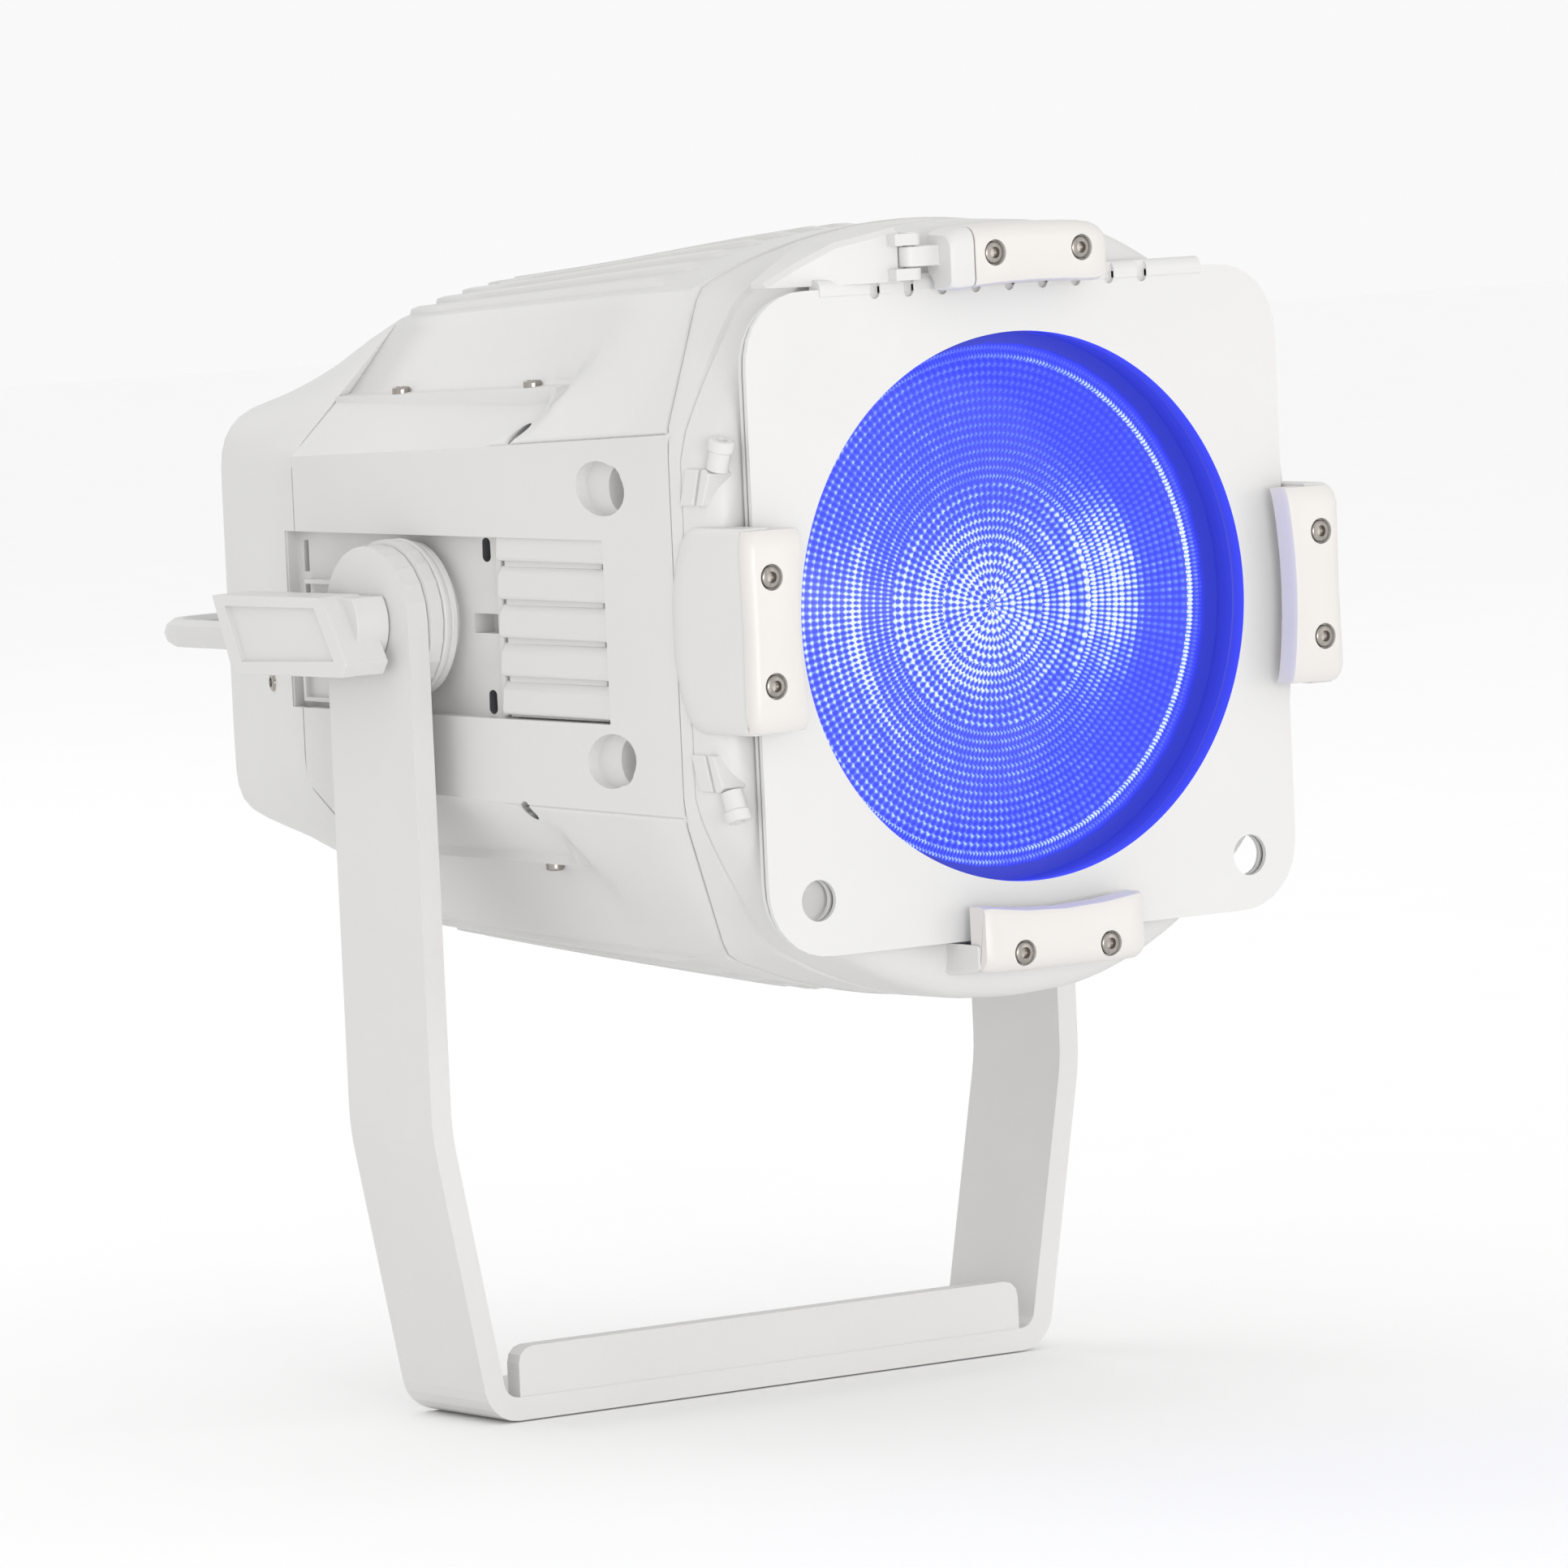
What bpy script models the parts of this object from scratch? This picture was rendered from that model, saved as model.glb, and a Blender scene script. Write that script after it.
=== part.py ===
"""LED Fresnel wash light on a floor-standing yoke, built as separate pieces in metres, +Z up.

The light shines towards -Y.  The yoke's base rests on Z = 0, and the head tilts about a line
parallel to X, TILT_HEIGHT above it.  Sizes below are in millimetres and are scaled by MM.
"""

import math

import bmesh
import bpy
from mathutils import Matrix, Vector

MM = 0.001
GAP = 0.3                    # clearance between pieces that touch

# ---- driving dimensions ----
TILT_HEIGHT = 240.0          # tilt axis above the floor
YOKE_OUTER = 119.5           # outer faces of the yoke's arms, from the centre
BAR = 7.0                    # thickness of the yoke's bar
BAR_WIDTH = 45.0
CLAMP_HOLE = 6.5             # radius of the two holes for hanging clamps, M12 bolts
CLAMP_HOLE_X = 30.0
SIDE = 105.0                 # outer faces of the head's flat sides, from the centre
SIDE_BAND = 50.0             # half height of those flat sides
CHANNEL = (-29.0, 25.0)      # recess along each side, below and above the tilt axis
CHANNEL_DEPTH = 6.0
LOUVRE_LOW = -17.9           # lowest louvre rib in the channel
LOUVRE_PITCH = 11.3
WALL = 3.0                   # thickness of the moulded covers
SEAM_FRONT = -141.0          # where the front bezel meets the covers, at the sides
SEAM_REAR = 64.0
REAR_FACE = 141.0
BEZEL_FRONT = -161.0
BARREL_BORE = 80.5
BARREL_OUTER = 83.5
LENS_RADIUS = 77.5
FRAME_SIZE = 190.5           # standard colour frame of a 6 inch lens
FRAME_FRONT = -167.3
FRAME_BACK = -162.6
APERTURE = 79.8
CLIP_LENGTH = 57.0
POD = 109.2                  # the bezel's pods behind the side clips, kept inside the yoke's arms
CLIP_FACE = -181.0
SCREW_PITCH = 31.0
PIVOT_BOLT = 5.0             # radius of the tilt bolts
ZOOM_TRAVEL = 40.0
CARRIAGE_Y = -62.0           # front face of the light engine's carrier, at rest
FRONT_PLATE_Y = -121.0
REAR_PLATE_Y = 55.0
ROD_RADIUS = 4.0
ROD_X = 66.0
ROD_Z = -45.0
SCREW_Z = -66.0              # lead screw, below the tilt axis
FAN_SIZE = 92.0
LATCH_X = -39.0              # hinge pin of the top latch
LATCH_Y = -171.0

AXIS = Vector((0, 0, TILT_HEIGHT))
X_AXIS = Matrix.Rotation(math.pi / 2, 4, "Y")        # turns a Z-aligned piece onto X
Y_AXIS = Matrix.Rotation(-math.pi / 2, 4, "X")       # turns a Z-aligned piece onto Y

PARTS = "led_fresnel_spotlight"
CUTTERS = "cutters"


# ---- scene and materials ----

def clear_scene():
    for old in list(bpy.data.objects):
        bpy.data.objects.remove(old)
    for name in (PARTS, CUTTERS):
        bpy.context.scene.collection.children.link(bpy.data.collections.new(name))


def material(name, colour, roughness, metallic=0.0):
    made = bpy.data.materials.new(name)
    made.use_nodes = True
    shader = made.node_tree.nodes["Principled BSDF"]
    shader.inputs["Base Color"].default_value = (*colour, 1.0)
    shader.inputs["Roughness"].default_value = roughness
    shader.inputs["Metallic"].default_value = metallic
    return made


def add(name, mesh, finish=None, parent=None, location=(0, 0, 0), collection=PARTS):
    """Links a mesh, given in millimetres about location, as one object."""
    mesh.transform(Matrix.Scale(MM, 4))
    made = bpy.data.objects.new(name, mesh)
    made.location = Vector(location) * MM
    bpy.data.collections[collection].objects.link(made)
    if finish:
        mesh.materials.append(finish)
    if parent:
        bpy.context.view_layer.update()
        made.parent = parent
        made.matrix_parent_inverse = parent.matrix_world.inverted()
    return made


def pivot(name, location, parent=None):
    """An empty on a joint's axis that carries the pieces moving with it."""
    made = bpy.data.objects.new(name, None)
    made.location = Vector(location) * MM
    bpy.data.collections[PARTS].objects.link(made)
    bpy.context.view_layer.update()
    if parent:
        made.parent = parent
        made.matrix_parent_inverse = parent.matrix_world.inverted()
        bpy.context.view_layer.update()
    return made


# ---- shapes, all in millimetres ----

def mesh_from(bm, name):
    bmesh.ops.recalc_face_normals(bm, faces=bm.faces)
    mesh = bpy.data.meshes.new(name)
    bm.to_mesh(mesh)
    bm.free()
    return mesh


def box_mesh(low, high, name="box"):
    bm = bmesh.new()
    bmesh.ops.create_cube(bm, size=1.0)
    size = Vector(high) - Vector(low)
    middle = (Vector(high) + Vector(low)) / 2
    bmesh.ops.transform(bm, matrix=Matrix.Translation(middle) @ Matrix.Diagonal((*size, 1)), verts=bm.verts)
    return mesh_from(bm, name)


def rod_mesh(radius, start, length, turn, sides=24, radius_end=None, name="rod"):
    """A solid cylinder or cone from start, along the axis that turn lays Z on."""
    bm = bmesh.new()
    end = radius if radius_end is None else radius_end
    bmesh.ops.create_cone(bm, cap_ends=True, segments=sides, radius1=radius, radius2=end, depth=length)
    place = Matrix.Translation(start) @ turn @ Matrix.Translation((0, 0, length / 2))
    bmesh.ops.transform(bm, matrix=place, verts=bm.verts)
    return mesh_from(bm, name)


def ring_mesh(profile, centre, turn, sides=32, name="ring"):
    """A turned ring: profile is a closed loop of (radius, distance along the axis)."""
    bm = bmesh.new()
    rows = []
    for step in range(sides):
        angle = math.tau * step / sides
        rows.append([bm.verts.new((r * math.cos(angle), r * math.sin(angle), a)) for r, a in profile])
    join_rows(bm, rows, closed=True)
    bmesh.ops.transform(bm, matrix=Matrix.Translation(centre) @ turn, verts=bm.verts)
    return mesh_from(bm, name)


def join_rows(bm, rows, closed):
    """Skins rows of points, each row a closed loop; closed also joins the last row to the first."""
    count = len(rows[0])
    pairs = list(zip(rows, rows[1:]))
    if closed:
        pairs.append((rows[-1], rows[0]))
    for row, following in pairs:
        for i in range(count):
            k = (i + 1) % count
            bm.faces.new((row[i], row[k], following[k], following[i]))


def loft_mesh(sections, through=False, name="loft"):
    """A skin over closed sections of equal length; through leaves it open as a tube wall's loop."""
    bm = bmesh.new()
    rows = [[bm.verts.new(point) for point in section] for section in sections]
    join_rows(bm, rows, closed=through)
    if not through:
        bm.faces.new(list(reversed(rows[0])))
        bm.faces.new(rows[-1])
    twisted = [face for face in bm.faces if len(face.verts) == 4]
    bmesh.ops.triangulate(bm, faces=twisted)
    return mesh_from(bm, name)


def plate_mesh(outline, thickness, place, name="plate"):
    """A flat outline of (u, v) points, thickness thick and centred on its plane, moved by place."""
    bm = bmesh.new()
    half = thickness / 2
    low = [bm.verts.new((u, v, -half)) for u, v in outline]
    high = [bm.verts.new((u, v, half)) for u, v in outline]
    join_rows(bm, [low, high], closed=False)
    bm.faces.new(list(reversed(low)))
    bm.faces.new(high)
    bmesh.ops.transform(bm, matrix=place, verts=bm.verts)
    return mesh_from(bm, name)


def rounded_rectangle(half_u, half_v, radius, steps=4):
    points = []
    for corner in range(4):
        start = corner * math.pi / 2
        su = (1, -1, -1, 1)[corner]
        sv = (1, 1, -1, -1)[corner]
        for step in range(steps + 1):
            angle = start + math.pi / 2 * step / steps
            u = su * (half_u - radius) + radius * math.cos(angle)
            v = sv * (half_v - radius) + radius * math.sin(angle)
            points.append((u, v))
    return points


def arc(centre, radius, start, end, steps):
    points = []
    for step in range(steps + 1):
        angle = math.radians(start + (end - start) * step / steps)
        points.append((centre[0] + radius * math.cos(angle), centre[1] + radius * math.sin(angle)))
    return points


# ---- modifiers ----

def cutter(mesh, location=(0, 0, 0)):
    made = add("cutter", mesh, location=location, collection=CUTTERS)
    made.hide_render = True
    made.display_type = "WIRE"
    return made


def boolean(target, mesh, operation="DIFFERENCE", location=(0, 0, 0)):
    change = target.modifiers.new(operation.lower(), "BOOLEAN")
    change.operation = operation
    change.object = cutter(mesh, location)
    return target


def bevel(target, width, segments=1, limit=40):
    change = target.modifiers.new("edges", "BEVEL")
    change.width = width * MM
    change.segments = segments
    change.limit_method = "ANGLE"
    change.angle_limit = math.radians(limit)
    return target


def smooth(target, angle=35):
    target.data.shade_smooth()
    target.data.set_sharp_from_angle(angle=math.radians(angle))
    return target


def upright(y=0.0):
    """Lays a plate's (u, v) on X and Z, at distance y along the body, about the tilt axis."""
    return Matrix.Translation((0, y, TILT_HEIGHT)) @ Matrix.Rotation(math.pi / 2, 4, "X")


def sideways(x=0.0):
    """Lays a plate's (u, v) on Y and Z, at distance x from the centre, about the tilt axis."""
    columns = Matrix(((0, 0, 1, 0), (1, 0, 0, 0), (0, 1, 0, 0), (0, 0, 0, 1)))
    return Matrix.Translation((x, 0, TILT_HEIGHT)) @ columns


# ---- yoke ----

def bent_path():
    """Centre line of the right half of the yoke's bar, from the top of the arm to the middle."""
    x = YOKE_OUTER - BAR / 2
    lean = math.radians(10.5)
    knee = 88.0
    heel_radius = 8.5
    heel_z = BAR / 2 + heel_radius
    drop = knee - heel_z + heel_radius * math.sin(lean)
    foot_x = x - drop * math.tan(lean)
    centre = (foot_x - heel_radius * math.cos(lean), heel_z)
    heel = arc(centre, heel_radius, -math.degrees(lean), -90, 5)
    knee_radius = 70.0
    turned = arc((x - knee_radius, knee + knee_radius * math.tan(lean / 2)), knee_radius, 0, -10.5, 3)
    return [(x, TILT_HEIGHT + BAR_WIDTH)] + turned + heel + [(0.0, BAR / 2)]


def offset_path(path, distance):
    moved = []
    for i, point in enumerate(path):
        before = Vector(path[max(i - 1, 0)])
        after = Vector(path[min(i + 1, len(path) - 1)])
        here = Vector(point)
        first = (here - before).normalized() if i else (after - here).normalized()
        second = (after - here).normalized() if i < len(path) - 1 else first
        normal = Vector((-(first.y + second.y), first.x + second.x)).normalized()
        stretch = distance / max(normal.dot(Vector((-first.y, first.x))), 0.5)
        moved.append(tuple(here + normal * stretch))
    return moved


def yoke(finish):
    half = bent_path()
    outer = offset_path(half, BAR / 2)
    inner = offset_path(half, -BAR / 2)
    outer[-1] = (0.0, outer[-1][1])
    loop = outer + [(-x, z) for x, z in reversed(outer[:-1])]
    loop += [(-x, z) for x, z in inner] + list(reversed(inner[:-1]))
    lay_flat = Matrix.Rotation(math.pi / 2, 4, "X")
    made = add("yoke", plate_mesh(loop, BAR_WIDTH + 2, lay_flat), finish)
    round_top = [(u, v) for u, v in arc((0, 0), BAR_WIDTH / 2, 0, 180, 12)]
    stadium = round_top + [(-BAR_WIDTH / 2, -TILT_HEIGHT - 5), (BAR_WIDTH / 2, -TILT_HEIGHT - 5)]
    boolean(made, plate_mesh(stadium, 3 * YOKE_OUTER, sideways()), "INTERSECT")
    lip_half = 92.5
    lip_height = 22.0
    lip_radius = 5.0
    corners = arc((lip_half - lip_radius, lip_height - lip_radius), lip_radius, 0, 90, 3)
    lip = [(-lip_half, 0.5), (lip_half, 0.5)] + corners + [(-x, z) for x, z in reversed(corners)]
    front = Matrix.Translation((0, -BAR_WIDTH / 2 + BAR / 2, 0)) @ lay_flat
    boolean(made, plate_mesh(lip, BAR - 0.6, front), "UNION")
    hole = rod_mesh(PIVOT_BOLT + GAP, (-2 * YOKE_OUTER, 0, TILT_HEIGHT), 4 * YOKE_OUTER, X_AXIS, 20)
    boolean(made, hole)
    for x in (-CLAMP_HOLE_X, CLAMP_HOLE_X):
        boolean(made, rod_mesh(CLAMP_HOLE, (x, 2.5, -5), 20, Matrix.Identity(4), 20))
    return made


def friction_washer(name, side, finish):
    start = YOKE_OUTER - BAR - GAP
    profile = [(PIVOT_BOLT + 1.0, 0), (24.0, 0), (24.0, 4.3), (PIVOT_BOLT + 1.0, 4.3)]
    turn = Matrix.Rotation(-side * math.pi / 2, 4, "Y")
    return smooth(add(name, ring_mesh(profile, (side * start, 0, TILT_HEIGHT), turn, 24), finish))


# ---- housing ----

def section(y, w, band, shoulder, crest, under_band, under_shoulder, keel, slant=0.0):
    """One closed cross-section of the head, from its right side over the top and back below."""
    def quarter(side_z, corner, end, sign):
        cx, cz = corner
        points = [(w, side_z * 0.5), (w, side_z)]
        points.append((w + (cx - w) * 0.5, side_z + (cz - side_z) * 0.55))
        for part in (1.0, 0.75, 0.5, 0.25, 0.0):
            points.append((cx * part, end + (cz - end) * part * part))
        return [(x, sign * z) for x, z in points]

    top = quarter(band, shoulder, crest, 1)
    low = quarter(under_band, under_shoulder, keel, -1)
    loop = [(w, 0.0)] + top + [(-x, z) for x, z in reversed(top[:-1])] + [(-w, 0.0)]
    loop += [(-x, z) for x, z in low] + list(reversed(low[:-1]))
    return [(x, y + slant * max(0.0, abs(z) - band), z + TILT_HEIGHT) for x, z in loop]


def circle_like(loop, radius, y, limit=None):
    """Points of a circle at the angles of loop's points, cut off at limit either side."""
    points = []
    for x, _, z in loop:
        direction = Vector((x, z - TILT_HEIGHT)).normalized() * radius
        u = direction.x if limit is None else max(-limit, min(limit, direction.x))
        points.append((u, y, direction.y + TILT_HEIGHT))
    return points


FRONT_SECTION = dict(w=SIDE, band=54.0, shoulder=(76, 98), crest=113.0,
                     under_band=54.0, under_shoulder=(76, 98), keel=114.0)
REAR_SECTION = dict(w=SIDE, band=46.0, shoulder=(62, 84), crest=96.0,
                    under_band=50.0, under_shoulder=(66, 90), keel=101.0)


def shrink(sizes, by):
    made = dict(sizes)
    for key in ("w", "crest", "keel"):
        made[key] = sizes[key] - by
    for key in ("shoulder", "under_shoulder"):
        made[key] = (sizes[key][0] - by * 0.7, sizes[key][1] - by * 0.7)
    return made


def front_bezel(finish, parent):
    slant = 0.45
    rim = section(SEAM_FRONT - GAP, **FRONT_SECTION, slant=slant)
    rim_inside = section(SEAM_FRONT - GAP, **shrink(FRONT_SECTION, WALL), slant=slant)
    loops = [
        circle_like(rim, BARREL_OUTER + 4.5, SEAM_FRONT + 8),
        circle_like(rim, BARREL_OUTER + 4.5, BEZEL_FRONT + WALL),
        circle_like(rim, 101.0, BEZEL_FRONT + WALL),
        circle_like(rim, 108.0, BEZEL_FRONT + 9, SIDE - WALL),
        rim_inside,
        rim,
        circle_like(rim, 113.5, BEZEL_FRONT + 12, SIDE),
        circle_like(rim, 109.5, BEZEL_FRONT + 3.5, SIDE - 0.5),
        circle_like(rim, 104.0, BEZEL_FRONT, SIDE - 4),
        circle_like(rim, BARREL_OUTER + 1.5, BEZEL_FRONT),
        circle_like(rim, BARREL_OUTER + 1.5, SEAM_FRONT + 8),
    ]
    made = add("front_bezel", loft_mesh(loops, through=True), finish, parent)
    half = CLIP_LENGTH / 2
    for side in (-1, 1):
        ends = sorted((side * (FRAME_SIZE / 2 + 0.8), side * POD))
        low = (ends[0], BEZEL_FRONT - 2, TILT_HEIGHT - half)
        high = (ends[1], -147.0, TILT_HEIGHT + half)
        boolean(made, box_mesh(low, high), "UNION")
    top = box_mesh((-44, BEZEL_FRONT - 2, TILT_HEIGHT + 98.3), (half, -147, TILT_HEIGHT + 115))
    boolean(made, top, "UNION")
    low = (-half, BEZEL_FRONT - 2, TILT_HEIGHT - 111)
    boolean(made, box_mesh(low, (half, -147, TILT_HEIGHT - 96)), "UNION")
    return smooth(made, 30)


def cover_half(y, slope, w, band, shoulder, crest):
    """Right half of a top cover's outer line, from its lower edge up to the middle."""
    cx, cz = shoulder
    line = [(w, band), slope]
    for part in (1.0, 0.66, 0.33, 0.0):
        line.append((cx * part, crest + (cz - crest) * part * part))
    return [(x, y, z) for x, z in line]


def cover_section(half, slant, start):
    """Closed loop of a cover's wall: the outer line and the same line moved inwards."""
    outer = [(-x, y, z) for x, y, z in half] + list(reversed(half[:-1]))
    flat = [(x, z) for x, _, z in outer]
    inner = offset_path(flat, -WALL)
    y = half[0][1]
    loop = flat + list(reversed(inner))
    return [(u, y + slant * max(0.0, v - start), v) for u, v in loop]


def cover(name, finish, parent, sign):
    """The upper cover (sign 1) or the lower one (sign -1), front part full and rear part stepped in."""
    names = ("shoulder", "crest") if sign > 0 else ("under_shoulder", "keel")
    front = (FRONT_SECTION[names[0]], FRONT_SECTION[names[1]])
    rear = (REAR_SECTION[names[0]], REAR_SECTION[names[1]])
    start, end = SEAM_FRONT, SEAM_REAR - GAP
    ledge_start, ledge_step = -66.0, 10.0

    def at(y):
        part = max(0.0, (y - start) / (end - start))
        corner = tuple(a + (b - a) * part for a, b in zip(front[0], rear[0]))
        return corner, front[1] + (rear[1] - front[1]) * part

    loops = []
    for y in (start, ledge_start, ledge_start + ledge_step, end):
        corner, crest = at(y)
        if y <= ledge_start:
            half = cover_half(y, ((SIDE + corner[0]) / 2, (54 + corner[1]) / 2), SIDE - 0.3, 54.0, corner, crest)
        else:
            half = cover_half(y, (83.0, 67.0), 89.0, 62.5, corner, crest)
        loops.append(cover_section(half, 0.45 if y == start else 0.0, 54.0))
    made = loft_mesh(loops)
    flip = Matrix.Diagonal((1, 1, sign, 1))
    made.transform(Matrix.Translation(AXIS) @ flip)
    if sign < 0:
        made.flip_normals()
    return smooth(add(name, made, finish, parent), 25)


def side_panel(name, side, finish, parent):
    """Flat side of the head: a hat-shaped wall with the recess that the yoke's arm turns in."""
    low, high = CHANNEL
    floor = SIDE - CHANNEL_DEPTH
    outer = [(86.0, 60.5), (SIDE, SIDE_BAND), (SIDE, high), (floor, high - 1), (floor, low + 1),
             (SIDE, low), (SIDE, -SIDE_BAND), (86.0, -60.5)]
    loop = outer + list(reversed(offset_path(outer, WALL * (-1))))
    flat = [(side * x, z) for x, z in loop]
    length = SEAM_REAR - SEAM_FRONT - 2 * GAP
    middle = (SEAM_REAR + SEAM_FRONT) / 2
    made = add(name, plate_mesh(flat, length, upright(middle)), finish, parent)
    if side < 0:
        made.data.flip_normals()
    start = (side * (floor - WALL - 5), 0, TILT_HEIGHT)
    turn = Matrix.Rotation(side * math.pi / 2, 4, "Y")
    boolean(made, rod_mesh(26.0, start, YOKE_OUTER - BAR - 5.0 - floor + WALL + 5, turn, 32), "UNION")
    boolean(made, rod_mesh(PIVOT_BOLT + GAP, start, 60, turn, 20))
    near, far = sorted((side * (floor - 1.5), side * (floor + 4.5)))
    for level in range(4):
        z = TILT_HEIGHT + LOUVRE_LOW + LOUVRE_PITCH * level
        boolean(made, box_mesh((near, -104, z - 1.6), (far, -45, z + 1.6)), "UNION")
    return smooth(made, 30)


def rear_cover(finish, parent):
    outer = [
        section(SEAM_REAR, **REAR_SECTION),
        section(96.0, **shrink(REAR_SECTION, 3.5)),
        section(122.0, **shrink(REAR_SECTION, 13)),
        section(135.0, **shrink(REAR_SECTION, 20)),
        section(REAR_FACE, **shrink(REAR_SECTION, 28)),
    ]
    window = [(x * 0.8, REAR_FACE, TILT_HEIGHT + (z - TILT_HEIGHT) * 0.74) for x, _, z in outer[-1]]
    window_back = [(x, REAR_FACE - WALL, z) for x, _, z in window]
    inner = [
        section(REAR_FACE - WALL, **shrink(REAR_SECTION, 31)),
        section(122.0 - WALL, **shrink(REAR_SECTION, 17)),
        section(96.0 - WALL, **shrink(REAR_SECTION, 7)),
        section(SEAM_REAR, **shrink(REAR_SECTION, WALL)),
    ]
    loops = outer + [window, window_back] + inner
    return smooth(add("rear_cover", loft_mesh(loops, through=True), finish, parent), 30)


# ---- lens and colour frame ----

def lens_barrel(finish, parent):
    start = BEZEL_FRONT + 0.5
    end = FRONT_PLATE_Y - GAP
    profile = [(BARREL_BORE, start), (BARREL_OUTER, start), (BARREL_OUTER, end - 3), (93.0, end - 3),
               (93.0, end), (75.0, end), (75.0, end - 3), (BARREL_BORE, end - 12),
               (BARREL_BORE, -141.0), (75.5, -141.0), (75.5, -143.7), (BARREL_BORE, -143.7)]
    return smooth(add("lens_barrel", ring_mesh(profile, AXIS, Y_AXIS, 40), finish, parent))


def turned_disc(profile, sides):
    """A turned solid whose profile starts and ends on the axis, along Y about the tilt axis."""
    bm = bmesh.new()
    rows = []
    for r, a in profile[1:-1]:
        angles = [math.tau * i / sides for i in range(sides)]
        rows.append([bm.verts.new((r * math.cos(t), r * math.sin(t), a)) for t in angles])
    join_rows(bm, rows, closed=False)
    for row, (_, a) in ((rows[0], profile[0]), (rows[-1], profile[-1])):
        middle = bm.verts.new((0, 0, a))
        for i in range(sides):
            bm.faces.new((row[i], row[(i + 1) % sides], middle))
    bmesh.ops.transform(bm, matrix=Matrix.Translation(AXIS) @ Y_AXIS, verts=bm.verts)
    return mesh_from(bm, "disc")


def fresnel_lens(finish, parent):
    back, front = -144.0, -149.0
    profile = [(0, front - 1.0), (14.0, front - 0.4)]
    inner = 14.0
    for outer in (24.0, 33.0, 41.0, 48.0, 54.5, 60.5, 66.0, 71.0, 75.5):
        profile.append((inner + 0.6, front - 2.0))
        profile.append((outer, front + 0.2))
        inner = outer
    profile += [(LENS_RADIUS + 2.5, front), (LENS_RADIUS + 2.5, back), (0, back)]
    return smooth(add("fresnel_lens", turned_disc(profile, 48), finish, parent))


def lens_ring(finish, parent):
    profile = [(76.3, -154.0), (BARREL_BORE - GAP, -154.0), (BARREL_BORE - GAP, -151.4), (76.3, -151.4)]
    return smooth(add("lens_retaining_ring", ring_mesh(profile, AXIS, Y_AXIS, 40), finish, parent))


def colour_frame(finish, parent):
    half = FRAME_SIZE / 2
    middle = (FRAME_FRONT + FRAME_BACK) / 2
    outline = rounded_rectangle(half, half, 20.0, 5)
    made = add("colour_frame", plate_mesh(outline, FRAME_BACK - FRAME_FRONT, upright(middle)), finish, parent)
    fold = box_mesh((-68.5, FRAME_FRONT + 0.1, TILT_HEIGHT + 90), (68.5, FRAME_BACK - 0.1, TILT_HEIGHT + 97.3))
    boolean(made, fold, "UNION")
    boolean(made, rod_mesh(APERTURE, AXIS + Vector((0, -180, 0)), 30, Y_AXIS, 48))
    for step in range(-4, 5):
        x = 12.0 * step
        low = (x - 1.2, FRAME_FRONT - 1, TILT_HEIGHT + 88)
        boolean(made, box_mesh(low, (x + 1.2, FRAME_FRONT + 1.2, TILT_HEIGHT + 94.2)))
    for x in (-78, 78):
        boolean(made, rod_mesh(6.0, AXIS + Vector((x, -180, -79)), 30, Y_AXIS, 20))
    return made


# ---- clips, latch and their screws ----

def screw(name, x, z, head_y, length, finish, parent):
    """A pan-head screw driven towards +Y, its head's front face at head_y."""
    origin = AXIS + Vector((x, head_y, z))
    profile = [(0, 0), (2.6, 0), (3.5, 0.9), (3.5, 2.2), (2.0, 2.2), (2.0, length), (0, length)]
    made = turned_disc(profile, 12)
    made.transform(Matrix.Translation(origin - AXIS))
    added = add(name, made, finish, parent)
    slot = box_mesh((x - 0.5, head_y - 1, TILT_HEIGHT + z - 2.4), (x + 0.5, head_y + 1.1, TILT_HEIGHT + z + 2.4))
    boolean(added, slot)
    return added


def screw_hole(target, x, z, head_y, length):
    origin = AXIS + Vector((x, head_y - 1, z))
    boolean(target, rod_mesh(2.3, origin, length + 1.5, Y_AXIS, 12))
    boolean(target, rod_mesh(3.9, origin, 3.5, Y_AXIS, 16))


def clip_mesh():
    """The clip over the +X edge of the colour frame, as a finished mesh in millimetres."""
    half = CLIP_LENGTH / 2
    outer, inner = 105.0, 86.0
    hollow = [(inner + 3.0 * (1 - (v / half) ** 2), v) for v in (half, 14.0, 0.0, -14.0, -half)]
    outline = [(outer - 2, -half), (outer, -half + 2), (outer, half - 2), (outer - 2, half)] + hollow
    front = plate_mesh(outline, FRAME_FRONT - GAP - CLIP_FACE, upright((CLIP_FACE + FRAME_FRONT - GAP) / 2))
    made = add("clip", front)
    heel = (FRAME_SIZE / 2 + 1.0, FRAME_FRONT - 2, TILT_HEIGHT - half + 1.2)
    boolean(made, box_mesh(heel, (outer - 1.2, BEZEL_FRONT - 2 - GAP, TILT_HEIGHT + half - 1.2)), "UNION")
    for z in (-SCREW_PITCH / 2, SCREW_PITCH / 2):
        screw_hole(made, SCREW_IN_CLIP, z, CLIP_FACE + 0.6, 40)
    bevel(made, 0.8)
    bpy.context.view_layer.update()
    mesh = bpy.data.meshes.new_from_object(made.evaluated_get(bpy.context.evaluated_depsgraph_get()))
    bpy.data.objects.remove(made)
    mesh.transform(Matrix.Scale(1 / MM, 4))
    return mesh


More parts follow.
